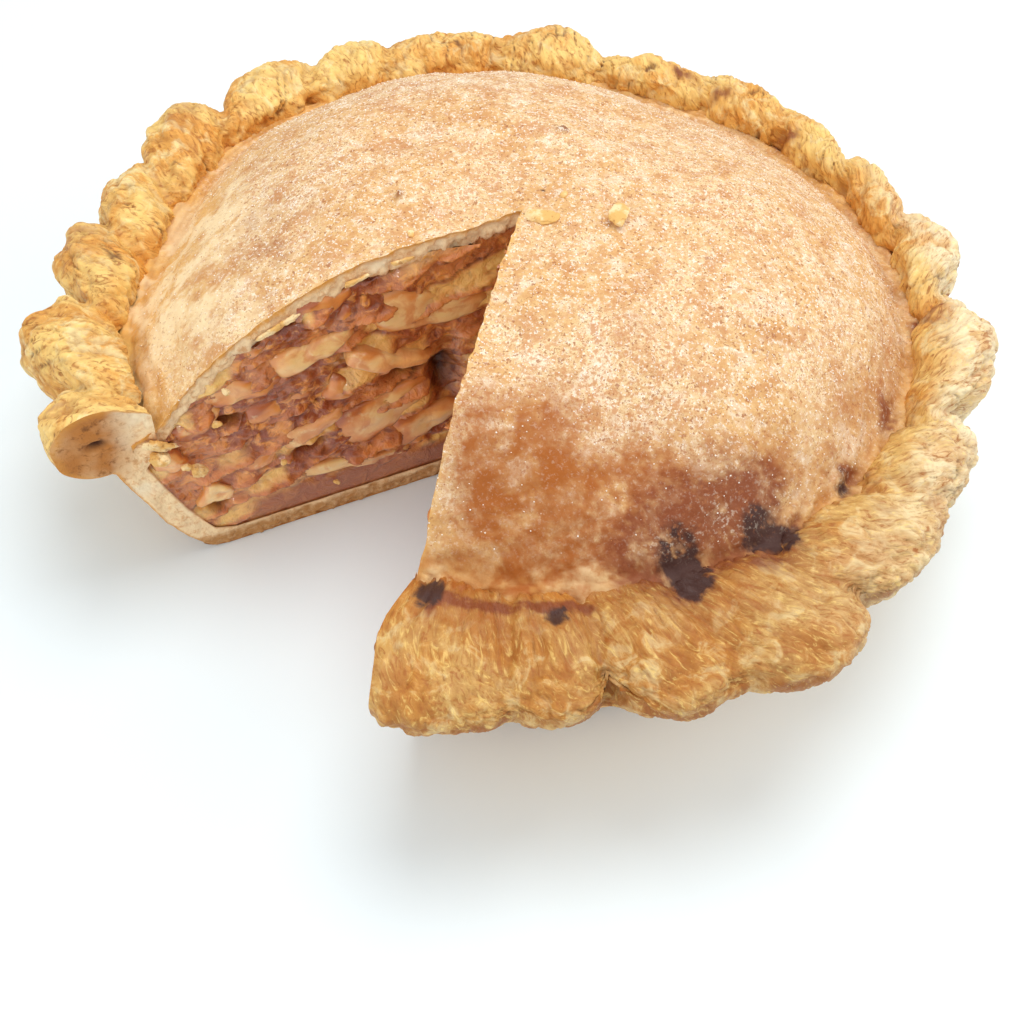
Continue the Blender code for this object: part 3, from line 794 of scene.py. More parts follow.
def wall_profile(azimuth):
    """Rows of the wall at each azimuth: distance and height from the underside's middle upwards."""
    rows = []
    flat = tin_circle(BASE_RADIUS - CORNER_ROUND, azimuth)
    for part in np.linspace(0.0, 1.0, 12):
        rows.append((BASE_START + part * (flat - BASE_START), 0.0))
    for part in np.linspace(0.15, 1.0, 6):
        turn = part * np.pi / 2.0
        wide = tin_circle(wall_radius(CORNER_HEIGHT), azimuth) - flat
        rows.append((flat + wide * np.sin(turn), CORNER_HEIGHT * (1.0 - np.cos(turn))))
    for height in np.linspace(0.0055, 0.0440, 42):
        rows.append((tin_circle(wall_radius(height), azimuth), height))
    return rows


def wall_grid():
    azimuths = np.linspace(CUT_RIGHT, CUT_LEFT, WALL_COLUMNS)
    rows = wall_profile(azimuths)
    distance = np.stack([row[0] for row in rows])
    height = np.stack([np.full_like(azimuths, row[1]) for row in rows])
    azimuth = np.tile(azimuths, (len(rows), 1))
    grid = place(distance, azimuth, height)
    relief = 0.0004 * rougher(grid, 0.010, 3, 21) + 0.00025 * rougher(grid, 0.0022, 3, 22)
    side = step_up(0.0, 0.004, height)
    grid = grid + normals_of(grid) * (relief * side)[..., None]
    grid[..., 2] = np.maximum(grid[..., 2], 0.0)
    paint = {"under": np.clip(1.0 - step_up(0.0, 0.016, height), 0, 1)}
    return grid, paint


WALL_GRID, wall_paint = wall_grid()
crust_wall = grid_mesh("crust_wall", WALL_GRID, BAKED_WALL, wall_paint, flip=True)
belongs(crust_wall, "bottom_crust")

# %% [markdown]
# The domed lid. Rows run from the cut's point out to the foot of the dome, columns round it. The
# dough was rolled thin and sank on the fruit, so it has soft bumps a few centimetres wide, finer
# ones of a few millimetres, and long wrinkles where it was stretched down to the rim. Near the
# cut the knife left the edge slightly ragged: the columns next to the cut are moved in and out
# by a random amount. The steam holes are pressed in as small round pits.

# %% Domed lid
LID_COLUMNS = 760
LID_ROWS = 125
RAG_SIZE = 0.0030
RAG_DEPTH = 0.00055
RAG_REACH = 0.0016
LID_SKIRT = 1.07
SEAT_HEIGHT = 0.0562
SEAT_DROP = 0.0040
SEAT_SOFT = 0.0005
SKIRT_DROP = 0.0026
SOFT_RISE = 0.0006
FINE_RISE = 0.00026
PULLED_RISE = 0.0007
SEAM_RISE = 0.0011
KNIFE_DIP = 0.0006
VENT_DEPTH = 0.0022


def ragged(distance, side):
    """How far the knife's edge wanders there, in metres."""
    line = flat_points(np.asarray(distance, dtype=float), np.full_like(distance, 0.05 * side))
    return RAG_DEPTH * rougher(line, RAG_SIZE, 3, 31)


def lid_grid():
    inner = CUT_RIGHT + (CUT_LEFT - CUT_RIGHT) * np.linspace(0.0, 1.0, LID_COLUMNS)
    shares = np.concatenate((np.linspace(0.0, 0.04, 4), np.linspace(0.05, LID_SKIRT, LID_ROWS - 4)))
    azimuth, share = np.meshgrid(inner, shares)
    distance = lid_foot(azimuth) * share
    right = np.exp(-np.radians(azimuth - CUT_RIGHT) * distance / RAG_REACH)
    left = np.exp(-np.radians(CUT_LEFT - azimuth) * distance / RAG_REACH)
    wander = ragged(distance, 1) * right - ragged(distance, 2) * left
    azimuth = azimuth + np.degrees(wander / np.maximum(distance, 0.004))
    seat = SEAT_HEIGHT - SEAT_DROP * step_up(530.0, 560.0, azimuth)
    height = lid_height(distance, azimuth)
    height = height + SEAT_SOFT * np.log1p(np.exp((seat - height) / SEAT_SOFT))
    height = height - SKIRT_DROP * step_up(1.01, 1.055, share)
    grid = place(distance, azimuth, height)
    flat = grid - CUT_POINT
    arc = np.radians(azimuth) * distance
    soft = rougher(flat, 0.012, 3, 41)
    fine = rougher(flat, 0.0028, 3, 42)
    pulled = rougher(flat_points(arc + 0.004 * soft, 0.30 * distance), 0.0050, 3, 43)
    foot = step_up(0.72, 1.0, share)
    seam = step_up(0.93, 1.0, share)
    push = SOFT_RISE * soft + FINE_RISE * fine + PULLED_RISE * foot * pulled
    push = push + SEAM_RISE * seam * rougher(flat, 0.0042, 4, 45)
    push = push - KNIFE_DIP * np.minimum(right + left, 1.0) ** 2
    vents = sum(patch(flat, a, d, 0.0020, 0.0010) for a, d in VENTS)
    grid = grid + normals_of(grid) * (push - VENT_DEPTH * np.clip(vents, 0, 1))[..., None]
    flank = patch(flat, 192.0, 0.086, 0.030, 0.022) + patch(flat, 168.0, 0.092, 0.026, 0.014)
    worn = rougher(flat + 0.003 * fine[..., None], 0.0085, 5, 44)
    paint = heat_of(flat)
    paint["burn"] = np.clip(paint["burn"] + 0.35 * vents ** 2, 0, 1)
    paint["haze"] = np.clip(paint["haze"] + 0.9 * vents, 0, 1)
    toast = paint["toast"] + 0.10 * np.clip(soft, 0, 1)
    paint["toast"] = np.clip(toast + 0.45 * seam * step_up(-0.3, 0.4, pulled), 0, 1)
    paint["cream"] = np.clip(flank * step_up(0.0, 0.40, worn), 0, 0.85)
    paint["gold"] = np.clip(0.75 * step_up(0.95, 1.01, share) + 0.8 * (right + left) ** 2
                            + 0.6 * flank * step_up(0.80, 0.95, share), 0, 1)
    front = facing(azimuth, FRONT_AZIMUTH)
    clean = (0.70 * step_up(0.93, 1.02, share) + 0.60 * np.clip(flank, 0, 1) * step_up(0.60, 0.80, share)
             + 0.45 * front * step_up(0.70, 0.95, share))
    paint["dust"] = np.clip(1.0 - clean, 0, 1)
    return grid, paint


LID_GRID, lid_paint = lid_grid()
domed_lid = grid_mesh("domed_lid", LID_GRID, SUGARED_LID, lid_paint)
belongs(domed_lid, "top_crust")

# %% [markdown]
# The cut faces. A knife leaves a nearly flat face, but dough tears and fruit is pushed about, so
# each face gets its own relief. A face is a band of points between two lines, one on each side
# of the layer: for the lid its top and its underside, for the crust its outer and its inner
# side. The crust's inner side also bounds the caramel. The same helpers make all six faces.

# %% Cut face helper
INNER_CORNER = 0.0045
INNER_HEIGHTS = (0.0085, 0.0120, 0.0200, 0.0300, 0.0410)


def resample(line, count):
    """Points spread evenly by length along a line of (distance, height)."""
    line = np.asarray(line, dtype=float)
    steps = np.concatenate(([0.0], np.cumsum(np.linalg.norm(np.diff(line, axis=0), axis=1))))
    at = np.linspace(0.0, steps[-1], count)
    return np.stack((np.interp(at, steps, line[:, 0]), np.interp(at, steps, line[:, 1])), axis=1)


def band(first, second, across):
    """Points (across, along, 2) between two lines with the same number of points."""
    part = np.linspace(0.0, 1.0, across)[:, None, None]
    return first[None] * (1.0 - part) + second[None] * part


def inner_line(azimuth, start, end, tuck=0.0):
    """The crust's inner side as (distance, height), along the base and up the wall."""
    low = BASE_THICK - tuck
    line = [(start, low), (tin_circle(BASE_RADIUS, azimuth) - INNER_CORNER + tuck, low)]
    for height in INNER_HEIGHTS:
        line.append((tin_circle(wall_radius(height), azimuth) - WALL_THICK + tuck, height))
    return line + [end]


def stand_up(side, flat_band, relief):
    """Places a band of (distance, height) in a cut plane, pushed into the gap by the relief."""
    azimuth, out = SIDES[side]
    points = place(flat_band[..., 0], np.full(flat_band.shape[:-1], azimuth), flat_band[..., 1])
    return points + out * relief[..., None]


# %% [markdown]
# The lid's cut edge. It is a pale band about 5 mm thick, torn and flaky along its lower side,
# with the thin browned skin as a line on top. The band starts at the end column of the lid's own
# sheet, so that no gap opens between them.

# %% Lid's cut edge
def end_line(grid, side):
    """A sheet's end column beside the cut, as distance along the cut, height and depth into the gap."""
    azimuth, out = SIDES[side]
    away = grid[:, 0 if side == 1 else -1] - CUT_POINT
    across, back = turn_of(azimuth)
    return away[:, 0] * across + away[:, 1] * back, away[:, 2], away @ out


LID_FLAKE = 0.0011
EDGE_COLUMNS = 280
EDGE_ROWS = 16


def lid_edge(side):
    azimuth, _ = SIDES[side]
    along, top, depth_line = end_line(LID_GRID, side)
    distance = np.linspace(0.0, along.max(), EDGE_COLUMNS)
    across = np.full_like(distance, azimuth)
    tear = 0.0015 * rougher(flat_points(distance, np.full_like(distance, 0.3 * side)), 0.0036, 4, 51)
    under = lid_under(distance, across) + tear - LID_FLAKE * step_up(0.002, 0.012, distance)
    skin_line = np.stack((distance, np.interp(distance, along, top)), 1)
    flat_band = band(skin_line, np.stack((distance, under), 1), EDGE_ROWS)
    depth = np.linspace(0.0, 1.0, EDGE_ROWS)[:, None]
    spread = flat_points(flat_band[..., 0], flat_band[..., 1])
    torn = rougher(spread, 0.0022, 4, 52 + side)
    ragged_line = np.interp(distance, along, depth_line)[None]
    relief = ragged_line + (0.0010 * torn - 0.0005 * depth) * np.minimum(1.0, 4.0 * depth)
    grid = stand_up(side, flat_band, relief)
    paint = {
        "skin": np.clip(1.25 - 4.2 * depth + 0.45 * torn, 0, 1),
        "bake": np.clip(0.10 + 0.5 * step_up(0.090, 0.112, flat_band[..., 0]), 0, 1),
        "hole": np.zeros_like(relief),
        "wet": np.clip(step_up(0.80, 1.0, depth) * step_up(0.0, 0.5, torn), 0, 1),
    }
    name = {1: "lid_edge_right", 2: "lid_edge_left"}[side]
    piece = grid_mesh(name, grid, CUT_DOUGH, paint, flip=(side == 1))
    return belongs(piece, "top_crust")


lid_edges = [lid_edge(side) for side in SIDES]

# %% [markdown]
# The crust's cut faces. One line follows the outside: underside, wall, and all the way round the
# rim. The other follows the inside and stays near the lip where the lid sits down on the rim, so
# the band fans out there over the whole thick end of the rim. That end is tan, darker to the
# outside, with a small hole baked into it on the left.

# %% Crust's cut faces
RIM_HOLES = {1: (0.1150, 0.0540), 2: (0.1160, 0.0545)}
HOLE_WIDE = 0.0022
HOLE_TALL = 0.0010
HOLE_DEPTH = 0.0022
TORN_RISE = 0.00055
LAYER_RELIEF = 0.0003


FACE_ROWS = 30
WALL_SAMPLES = 230
RIM_SAMPLES = 110


def end_profile(grid, side):
    """A sheet's own first or last column as (distance, height), so that the face meets it exactly."""
    away = grid[:, 0 if side == 1 else -1] - CUT_POINT
    return np.stack((np.linalg.norm(away[:, :2], axis=1), away[:, 2]), axis=1)


def crust_face(side):
    azimuth, _ = SIDES[side]
    wall = end_profile(WALL_GRID, side)
    wall = wall[wall[:, 1] < WALL_HEIGHT]
    foot = float(lid_foot(azimuth))
    lip = float(lid_under(np.array([foot]), np.array([azimuth]))[0])
    inside = inner_line(azimuth, BASE_START, (foot - 0.0010, lip))
    rim = resample(end_profile(RIM_GRID, side), RIM_SAMPLES)
    first = np.concatenate((resample(wall, WALL_SAMPLES), rim))
    lip_fan = np.tile(np.array(((foot + 0.0004, lip),)), (RIM_SAMPLES, 1))
    lip_fan[:, 1] += np.linspace(-0.0010, 0.0060, RIM_SAMPLES)
    second = np.concatenate((resample(inside, WALL_SAMPLES), lip_fan))
    flat_band = band(first, second, FACE_ROWS)
    spread = flat_points(flat_band[..., 0], flat_band[..., 1])
    torn = rougher(spread, 0.0030, 4, 61 + side)
    layers = rougher(flat_points(0.35 * flat_band[..., 0], flat_band[..., 1]), 0.0016, 3, 63)
    depth = np.linspace(0.0, 1.0, FACE_ROWS)[:, None]
    rim_share = step_up(0.104, 0.114, flat_band[..., 0]) * step_up(0.036, 0.046, flat_band[..., 1])
    hole_at = RIM_HOLES[side]
    aside = (flat_band[..., 0] - hole_at[0]) / HOLE_WIDE
    above = (flat_band[..., 1] - hole_at[1]) / HOLE_TALL
    away = aside ** 2 + above ** 2
    hole = np.exp(-away * (1.0 + 0.5 * torn))
    inner = np.minimum(1.0, 8.0 * depth) * np.minimum(1.0, 8.0 * (1.0 - depth) + 0.3)
    relief = (TORN_RISE * torn + LAYER_RELIEF * layers) * inner - HOLE_DEPTH * hole
    if side == 1:
        relief = relief + end_bulge(flat_band[..., 0], flat_band[..., 1])
    grid = stand_up(side, flat_band, relief)
    low = step_up(0.0045, 0.0, flat_band[..., 1])
    grid = grid + SIDES[side][1] * (low * 0.0008 * (rough(spread, 0.0011, 66) - 0.2))[..., None]
    thin = np.clip(1.1 - 11.0 * depth + 0.35 * torn, 0, 1)
    outer = step_up(0.108, 0.124, flat_band[..., 0])
    paint = {
        "skin": np.clip(thin * (1.0 - 0.3 * rim_share), 0, 1),
        "bake": np.clip(rim_share * (0.80 + 0.50 * outer + 0.3 * torn), 0, 1),
        # The hole attribute is painted shade inside the baked hole.
        "hole": np.clip(hole * 1.2, 0, 1),
        "base": np.clip(step_up(0.0066, 0.0036, flat_band[..., 1] + 0.0010 * torn), 0, 1),
        "wet": np.clip(step_up(0.90, 1.0, depth) * (1.0 - rim_share), 0, 1),
    }
    name = {1: "crust_face_right", 2: "crust_face_left"}[side]
    piece = grid_mesh(name, grid, CUT_DOUGH, paint, flip=(side == 1))
    return belongs(piece, "bottom_crust")


crust_faces = [crust_face(side) for side in SIDES]

# %% [markdown]
# The caramel. Between the slices lies a thick, glossy gel, pinkish brown where it is deep and
# orange where it is thin over fruit. It is opaque enough to be modelled as a wet skin with a
# little light scattered below it, which renders much faster than a clear volume. A coat gives
# the sharp wet highlights. The attributes say where a layer of fruit ends in a rough orange lip,
# where pale fruit shows through and where the gel is smooth; deep is painted shade, near
# black-brown in the hollows and under each layer's lip, where most of the coat is taken off too.

# %% Caramel finish
def caramel_finish():
    f = Finish("caramel_gel", 0.30)
    wide = f.noise(0.009, 4.0, 0.55, 0.9)
    fine = f.noise(0.0020, 5.0, 0.65, 0.6)
    gel = f.over(tone(156, 72, 32), tone(214, 132, 72), f.between(wide, 0.40, 0.60))
    gel = f.over(gel, tone(246, 168, 84), f.between(fine, 0.50, 0.66, 0.0, 0.90))
    gel = f.over(gel, tone(116, 48, 22), f.between(fine, 0.46, 0.32, 0.0, 0.85))
    fruit = f.times(f.painted("fruit"), f.between(fine, 0.30, 0.55, 0.60, 1.0))
    gel = f.over(gel, tone(254, 200, 112), fruit)
    lip = f.times(f.painted("lip"), f.between(fine, 0.34, 0.58, 0.25, 0.85))
    gel = f.over(gel, tone(226, 138, 70), lip)
    # Painted shade: near black-brown in the hollows and under each layer's lip.
    gel = f.over(gel, tone(62, 27, 14), f.times(f.painted("deep"), 0.92))
    gel = f.over(gel, tone(172, 98, 54), f.times(f.painted("smooth"), 0.8))
    f.shade(coat_weight=f.between(f.painted("deep"), 0.0, 0.6, 0.9, 0.1), coat_roughness=0.07)
    f.shade(subsurface_weight=0.25, subsurface_radius=(1.0, 0.45, 0.25), subsurface_scale=0.003)
    return f.finish(gel, f.bump(fine, 0.85, 0.0012))


CARAMEL = caramel_finish()

# %% [markdown]
# Apple. Baked slices are pale yellow and a little see-through, stained tan and orange where the
# caramel soaked in. Each slice has its own stain, stored on its points.

# %% Apple finish
def apple_finish():
    f = Finish("baked_apple", 0.34)
    grain = f.noise(0.0016, 5.0, 0.6, 0.3)
    wide = f.noise(0.007, 3.0, 0.5, 0.5)
    film = f.noise(0.0042, 5.0, 0.6, 0.8)
    flesh = f.over(tone(255, 212, 144), tone(250, 184, 108), f.between(wide, 0.40, 0.65))
    stain = f.painted("stain")
    flesh = f.over(flesh, tone(222, 136, 70), f.between(film, 0.44, 0.62, 0.0, 0.75))
    flesh = f.over(flesh, tone(228, 144, 68), f.between(stain, 0.20, 0.85))
    flesh = f.over(flesh, tone(184, 98, 48), f.between(stain, 0.70, 1.15))
    flesh = f.over(flesh, tone(255, 232, 178), f.between(grain, 0.56, 0.74, 0.0, 0.5))
    f.shade(coat_weight=0.9, coat_roughness=0.10)
    f.shade(subsurface_weight=0.35, subsurface_radius=(1.0, 0.7, 0.35), subsurface_scale=0.003)
    return f.finish(flesh, f.bump(grain, 0.3, 0.0005))


APPLE = apple_finish()

# %% [markdown]
# The filling's two faces. The fruit lies in layers that rise a little towards the middle of the
# pie. Each layer ends in an uneven lip that stands out over the one below, with a sharp step
# under it. The step comes from the whole number of the layer a point is in, and how strong it is
# changes along the layer. Wide lumps, small bits and deep hollows where a slice has dropped out
# are added. Low down the gel settled and is smooth.

# %% Caramel faces
HOLLOWS = {
    1: ((0.034, 0.041, 0.0042, 0.008), (0.070, 0.030, 0.004, 0.006)),
    2: ((0.0205, 0.0410, 0.0040, 0.0095), (0.0660, 0.0775, 0.0045, 0.0020), (0.0430, 0.0850, 0.0060, 0.0013),
        (0.1010, 0.0455, 0.0030, 0.0018), (0.0890, 0.0165, 0.0026, 0.0020), (0.0300, 0.0465, 0.0070, 0.0016),
        (0.0820, 0.0480, 0.0040, 0.0014), (0.0620, 0.0290, 0.0050, 0.0014)),
}
GEL_TUCK = 0.0006
GEL_COLUMNS = 264
GEL_ROWS = 200
LAYER_PITCH = 0.0076
LAYER_RISE = 0.27
LAYER_STEP = 0.0032
HOLLOW_DEPTH = 0.0060


def caramel_lines(side):
    azimuth, _ = SIDES[side]
    foot = float(lid_foot(azimuth))
    inside = inner_line(azimuth, 0.0, (foot, 0.0480), GEL_TUCK)
    distance = foot * np.linspace(0.0, 1.0, GEL_COLUMNS)
    top = lid_under(distance, np.full_like(distance, azimuth)) + 1.5 * GEL_TUCK
    top = top - 0.6 * LID_FLAKE * step_up(0.002, 0.012, distance)
    return resample(inside, GEL_COLUMNS), resample(np.stack((distance, top), 1), GEL_COLUMNS)


def caramel_face(side):
    low, high = caramel_lines(side)
    flat_band = band(low, high, GEL_ROWS)
    across, up = flat_band[..., 0], flat_band[..., 1]
    tilted = flat_points(0.55 * across + 0.10 * up, up)
    wide = rougher(tilted, 0.0100, 2, 71 + side)
    small = rougher(tilted, 0.0034, 3, 74 + side)
    drift = 0.0040 * rougher(flat_points(across, 0.5 * up), 0.020, 2, 77 + side) + 0.0010 * small
    level = (up + LAYER_RISE * across + drift) / LAYER_PITCH
    layer = np.floor(level)
    phase = level - layer
    strength = step_up(-0.35, 0.65, rough(flat_points(across, 0.05 * layer), 0.0085, 80 + side))
    settled = step_up(0.0165, 0.0120, up + 0.0015 * small) * step_up(0.084, 0.074, across)
    edge = np.minimum(1.0, 14.0 * np.linspace(0.0, 1.0, GEL_ROWS))[:, None]
    step_out = LAYER_STEP * strength * (1.0 - phase) ** 1.4 - 0.0009
    bits = rougher(tilted, 0.0016, 3, 88 + side)
    lumpy = 0.0011 * wide + 0.0012 * small + 0.0006 * bits
    relief = (step_out + lumpy) * (1.0 - 0.92 * settled) * edge - 0.0004
    deep = np.zeros_like(relief)
    for middle, height, width, tall in HOLLOWS[side]:
        away = ((across - middle) / width) ** 2 + ((up - height) / tall) ** 2
        deep = np.maximum(deep, np.exp(-away * (1.0 + 0.4 * small)))
    grid = stand_up(side, flat_band, relief - HOLLOW_DEPTH * deep)
    pale = rough(flat_points(across, 0.05 * layer + 0.4), 0.011, 83 + side)
    busy = 1.0 - settled
    within = step_up(0.12, 0.30, phase) * step_up(0.95, 0.75, phase)
    paint = {
        # The deep attribute is painted shade: the hollows and the undercut under each layer's lip.
        "deep": np.clip(deep + 0.7 * strength * step_up(0.86, 1.0, phase) * busy, 0, 1),
        "lip": np.clip(strength * step_up(0.50, 0.05, phase + 0.15 * small) * busy, 0, 1),
        "fruit": np.clip(step_up(0.10, 0.50, pale) * within * busy, 0, 1),
        "smooth": settled,
    }
    name = {1: "caramel_face_right", 2: "caramel_face_left"}[side]
    piece = grid_mesh(name, grid, CARAMEL, paint, flip=(side == 1))
    return belongs(piece, "filling")


caramel_faces = [caramel_face(side) for side in SIDES]

# %% [markdown]
# The apple slices. Each is a rounded slab, thicker at one end and slightly bent, laid where the
# cut shows one: the list gives its distance from the cut's point, height, length, thickness,
# tilt and stain. A ball of points pushed towards a box shape gives the soft corners of baked
# fruit. All the slices of one face are joined into one mesh.

# %% Apple slices
LEFT_SLICES = (
    (0.0245, 0.0685, 0.0320, 0.0120, 13.0, 0.05, 0.4), (0.0575, 0.0655, 0.0230, 0.0072, -17.0, 0.00, 0.6),
    (0.0370, 0.0555, 0.0250, 0.0050, 20.0, 0.00, 3.0), (0.0385, 0.0345, 0.0290, 0.0140, -23.0, 0.35, 0.1),
    (0.0260, 0.0245, 0.0210, 0.0115, -10.0, 0.30, 0.0), (0.0480, 0.0170, 0.0330, 0.0046, 7.0, 0.10, 0.1),
    (0.0600, 0.0370, 0.0200, 0.0056, -21.0, 0.00, 1.0), (0.0770, 0.0580, 0.0220, 0.0080, 2.0, 0.60, -0.4),
    (0.0740, 0.0315, 0.0150, 0.0080, -18.0, 0.60, -0.4), (0.0890, 0.0225, 0.0100, 0.0086, 24.0, 0.00, 1.4),
    (0.0540, 0.0790, 0.0160, 0.0070, -14.0, 0.75, -0.2), (0.0900, 0.0500, 0.0150, 0.0075, -30.0, 0.60, -0.5),
    (0.0460, 0.0720, 0.0110, 0.0056, 35.0, 0.55, 0.2), (0.0740, 0.0710, 0.0140, 0.0060, -14.0, 0.80, -0.4),
    (0.0990, 0.0400, 0.0100, 0.0065, 40.0, 0.50, 0.2), (0.0495, 0.0470, 0.0110, 0.0070, 25.0, 0.65, -0.1),
    (0.0680, 0.0480, 0.0180, 0.0070, -12.0, 0.75, -0.6),
)
APPLE_RINGS = 30
APPLE_SPOKES = 44
SLICE_DEEP = 0.0075
SLICE_LUMPS = 0.0017


def rounded_slab(length, deep, thick, square):
    """Points (rings, spokes, 3) of a soft-cornered slab round its own middle."""
    up = np.linspace(-np.pi / 2.0, np.pi / 2.0, APPLE_RINGS)[:, None]
    turn = np.linspace(0.0, 2.0 * np.pi, APPLE_SPOKES + 1)[None]
    ball = np.stack((np.cos(up) * np.cos(turn), np.cos(up) * np.sin(turn), np.sin(up) + 0.0 * turn), axis=-1)
    ball = ball / (np.abs(ball) ** square).sum(axis=-1, keepdims=True) ** (1.0 / square)
    return ball * np.array((length, deep, thick)) / 2.0


def joined_slabs(name, slabs, material, paint):
    """One mesh of many closed slabs."""
    count = APPLE_RINGS * (APPLE_SPOKES + 1)
    faces = np.concatenate([grid_faces(APPLE_RINGS, APPLE_SPOKES + 1) + n * count for n in range(len(slabs))])
    return link_mesh(name, np.concatenate([slab.reshape(-1, 3) for slab in slabs]), faces, material, paint)


def apple_slices(side, slices, name):
    azimuth, out = SIDES[side]
    across, back = turn_of(azimuth)
    outwards = np.array((float(across), float(back), 0.0))
    points, stains = [], []
    for number, (distance, height, length, thick, tilt, stain, proud) in enumerate(slices):
        slab = rounded_slab(length, SLICE_DEEP, thick, 4.5)
        share = slab[..., 0] / length
        slab[..., 2] = slab[..., 2] * (1.0 + 0.9 * share) + 0.12 * length * (share ** 2 - 0.08)
        own = slab + np.array((0.3, 0.1 * side, 0.7)) * (number + 1)
        normal = slab / np.maximum(np.linalg.norm(slab, axis=-1, keepdims=True), 1e-9)
        slab = slab + normal * (SLICE_LUMPS * rougher(own, 0.0058, 4, 81))[..., None]
        lean = radians(tilt)
        along = slab[..., 0] * np.cos(lean) - slab[..., 2] * np.sin(lean)
        up = slab[..., 0] * np.sin(lean) + slab[..., 2] * np.cos(lean)
        middle = place(np.array(distance), azimuth, np.array(height))
        inset = -SLICE_DEEP / 2.0 + 0.001 * proud
        grid = middle + outwards * along[..., None] + out * (slab[..., 1] + inset)[..., None]
        grid = grid + np.array((0.0, 0.0, 1.0)) * up[..., None]
        points.append(grid)
        border = (np.abs(2.0 * share) ** 3 + np.abs(2.0 * slab[..., 2] / thick) ** 3) ** (1.0 / 3.0)
        soaked = step_up(0.55, 1.15, border + 0.50 * rougher(own, 0.0050, 3, 82))
        stains.append(np.clip(stain + 0.65 * soaked + 0.30 * rougher(own, 0.0050, 3, 83), 0, 1.3).ravel())
    piece = joined_slabs(name, points, APPLE, {"stain": np.concatenate(stains)})
    return belongs(piece, "filling")


def right_slices():
    draw = np.random.default_rng(7)
    found = []
    for row, height in enumerate((0.017, 0.030, 0.043, 0.057, 0.070)):
        for place_in_row in range(5 - (row + 1) // 2):
            distance = 0.014 + 0.018 * place_in_row + draw.uniform(-0.003, 0.003)
            found.append((distance, height + draw.uniform(-0.003, 0.003), draw.uniform(0.014, 0.023),
                          draw.uniform(0.006, 0.010), draw.uniform(-22.0, 22.0), draw.uniform(0.0, 0.8),
                          draw.uniform(0.2, 1.2)))
    return found


apple_left = apple_slices(2, LEFT_SLICES, "apple_slices_left")
apple_right = apple_slices(1, right_slices(), "apple_slices_right")

# %% [markdown]
# Scraps and crumbs. A little curl of dough stands over one steam hole, a torn flake lies at the
# very point of the cut, the torn edges hang in flakes, and yellow crumbs fell on the fruit. Each
# is the same rounded slab as the fruit, but thin, bent and torn by a random field, and set on
# three axes: the lid's own slope, or the plane of the cut.

# %% Scraps and crumbs
def crumb_finish():
    f = Finish("crust_crumb", 0.75)
    wide = f.noise(0.0022, 4.0, 0.6)
    fine = f.noise(0.0006, 4.0, 0.6)
    crumb = f.over(tone(250, 222, 168), tone(232, 182, 104), f.between(wide, 0.42, 0.60))
    crumb = f.over(crumb, tone(180, 120, 60), f.times(f.between(fine, 0.44, 0.30), 0.7))
    return f.finish(crumb, f.bump(fine, 0.6, 0.0003))


CRUST_CRUMB = crumb_finish()
LID_SCRAPS = (
    (358.0, 0.0243, 0.0084, 0.0050, 0.0011, 80.0, 0.42, 0.0011),
    (331.0, 0.0052, 0.0084, 0.0050, 0.0014, 15.0, 0.12, 0.0003),
    (338.0, 0.0085, 0.0042, 0.0026, 0.0010, 60.0, 0.20, 0.0003),
    (30.0, 0.0120, 0.0024, 0.0018, 0.0010, 20.0, 0.10, 0.0002),
    (200.0, 0.0290, 0.0022, 0.0016, 0.0009, 70.0, 0.10, 0.0002),
)
CUT_SCRAPS = (
    (0.0680, 0.0778, 0.0080, 0.0012, 0.0016, -24.0, 0.0010),
    (0.0640, 0.0795, 0.0060, 0.0011, 0.0014, -14.0, 0.0010),
    (0.1010, 0.0490, 0.0080, 0.0020, 0.0030, 30.0, 0.0010),
    (0.1020, 0.0455, 0.0042, 0.0030, 0.0030, 10.0, 0.0022),
    (0.0930, 0.0370, 0.0050, 0.0028, 0.0028, 40.0, 0.0024),
    (0.0955, 0.0395, 0.0026, 0.0020, 0.0020, 0.0, 0.0022),
    (0.0860, 0.0520, 0.0024, 0.0018, 0.0018, 20.0, 0.0022),
    (0.0820, 0.0620, 0.0022, 0.0016, 0.0016, 50.0, 0.0016),
    (0.0450, 0.0863, 0.0060, 0.0010, 0.0012, -12.0, 0.0008),
    (0.0330, 0.0884, 0.0050, 0.0009, 0.0012, -4.0, 0.0007),
    (0.0700, 0.0300, 0.0018, 0.0016, 0.0014, 10.0, 0.0024),
    (0.0550, 0.0125, 0.0016, 0.0014, 0.0012, 30.0, 0.0008),
)


def torn_scrap(size, turn, curl, number, tearing):
    """A thin bent slab with torn edges, turned in its own plane."""
    length, wide, thick = size
    slab = rounded_slab(length, wide, thick, 2.8)
    share = slab[..., 0] / length
    own = slab + 0.05 * (number + 1)
    slab = slab * (1.0 + tearing * rougher(own, 0.0018, 4, 95))[..., None]
    slab[..., 2] = slab[..., 2] + curl * length * (0.25 - share ** 2)
    across, back = turn_of(turn)
    return np.stack((slab[..., 0] * across - slab[..., 1] * back, slab[..., 0] * back + slab[..., 1] * across,
                     slab[..., 2]), axis=-1)


def on_lid(azimuth, distance):
    """Place on the lid and its three axes there, the third square to the surface."""
    at = np.array((distance, distance + 0.001, distance))
    turns = np.array((azimuth, azimuth, azimuth + np.degrees(0.001 / distance)))
    here, out, aside = place(at, turns, lid_height(at, turns))
    first = (out - here) / np.linalg.norm(out - here)
    up = np.cross(first, aside - here)
    up = up / np.linalg.norm(up)
    return here, np.stack((first, np.cross(up, first), up))


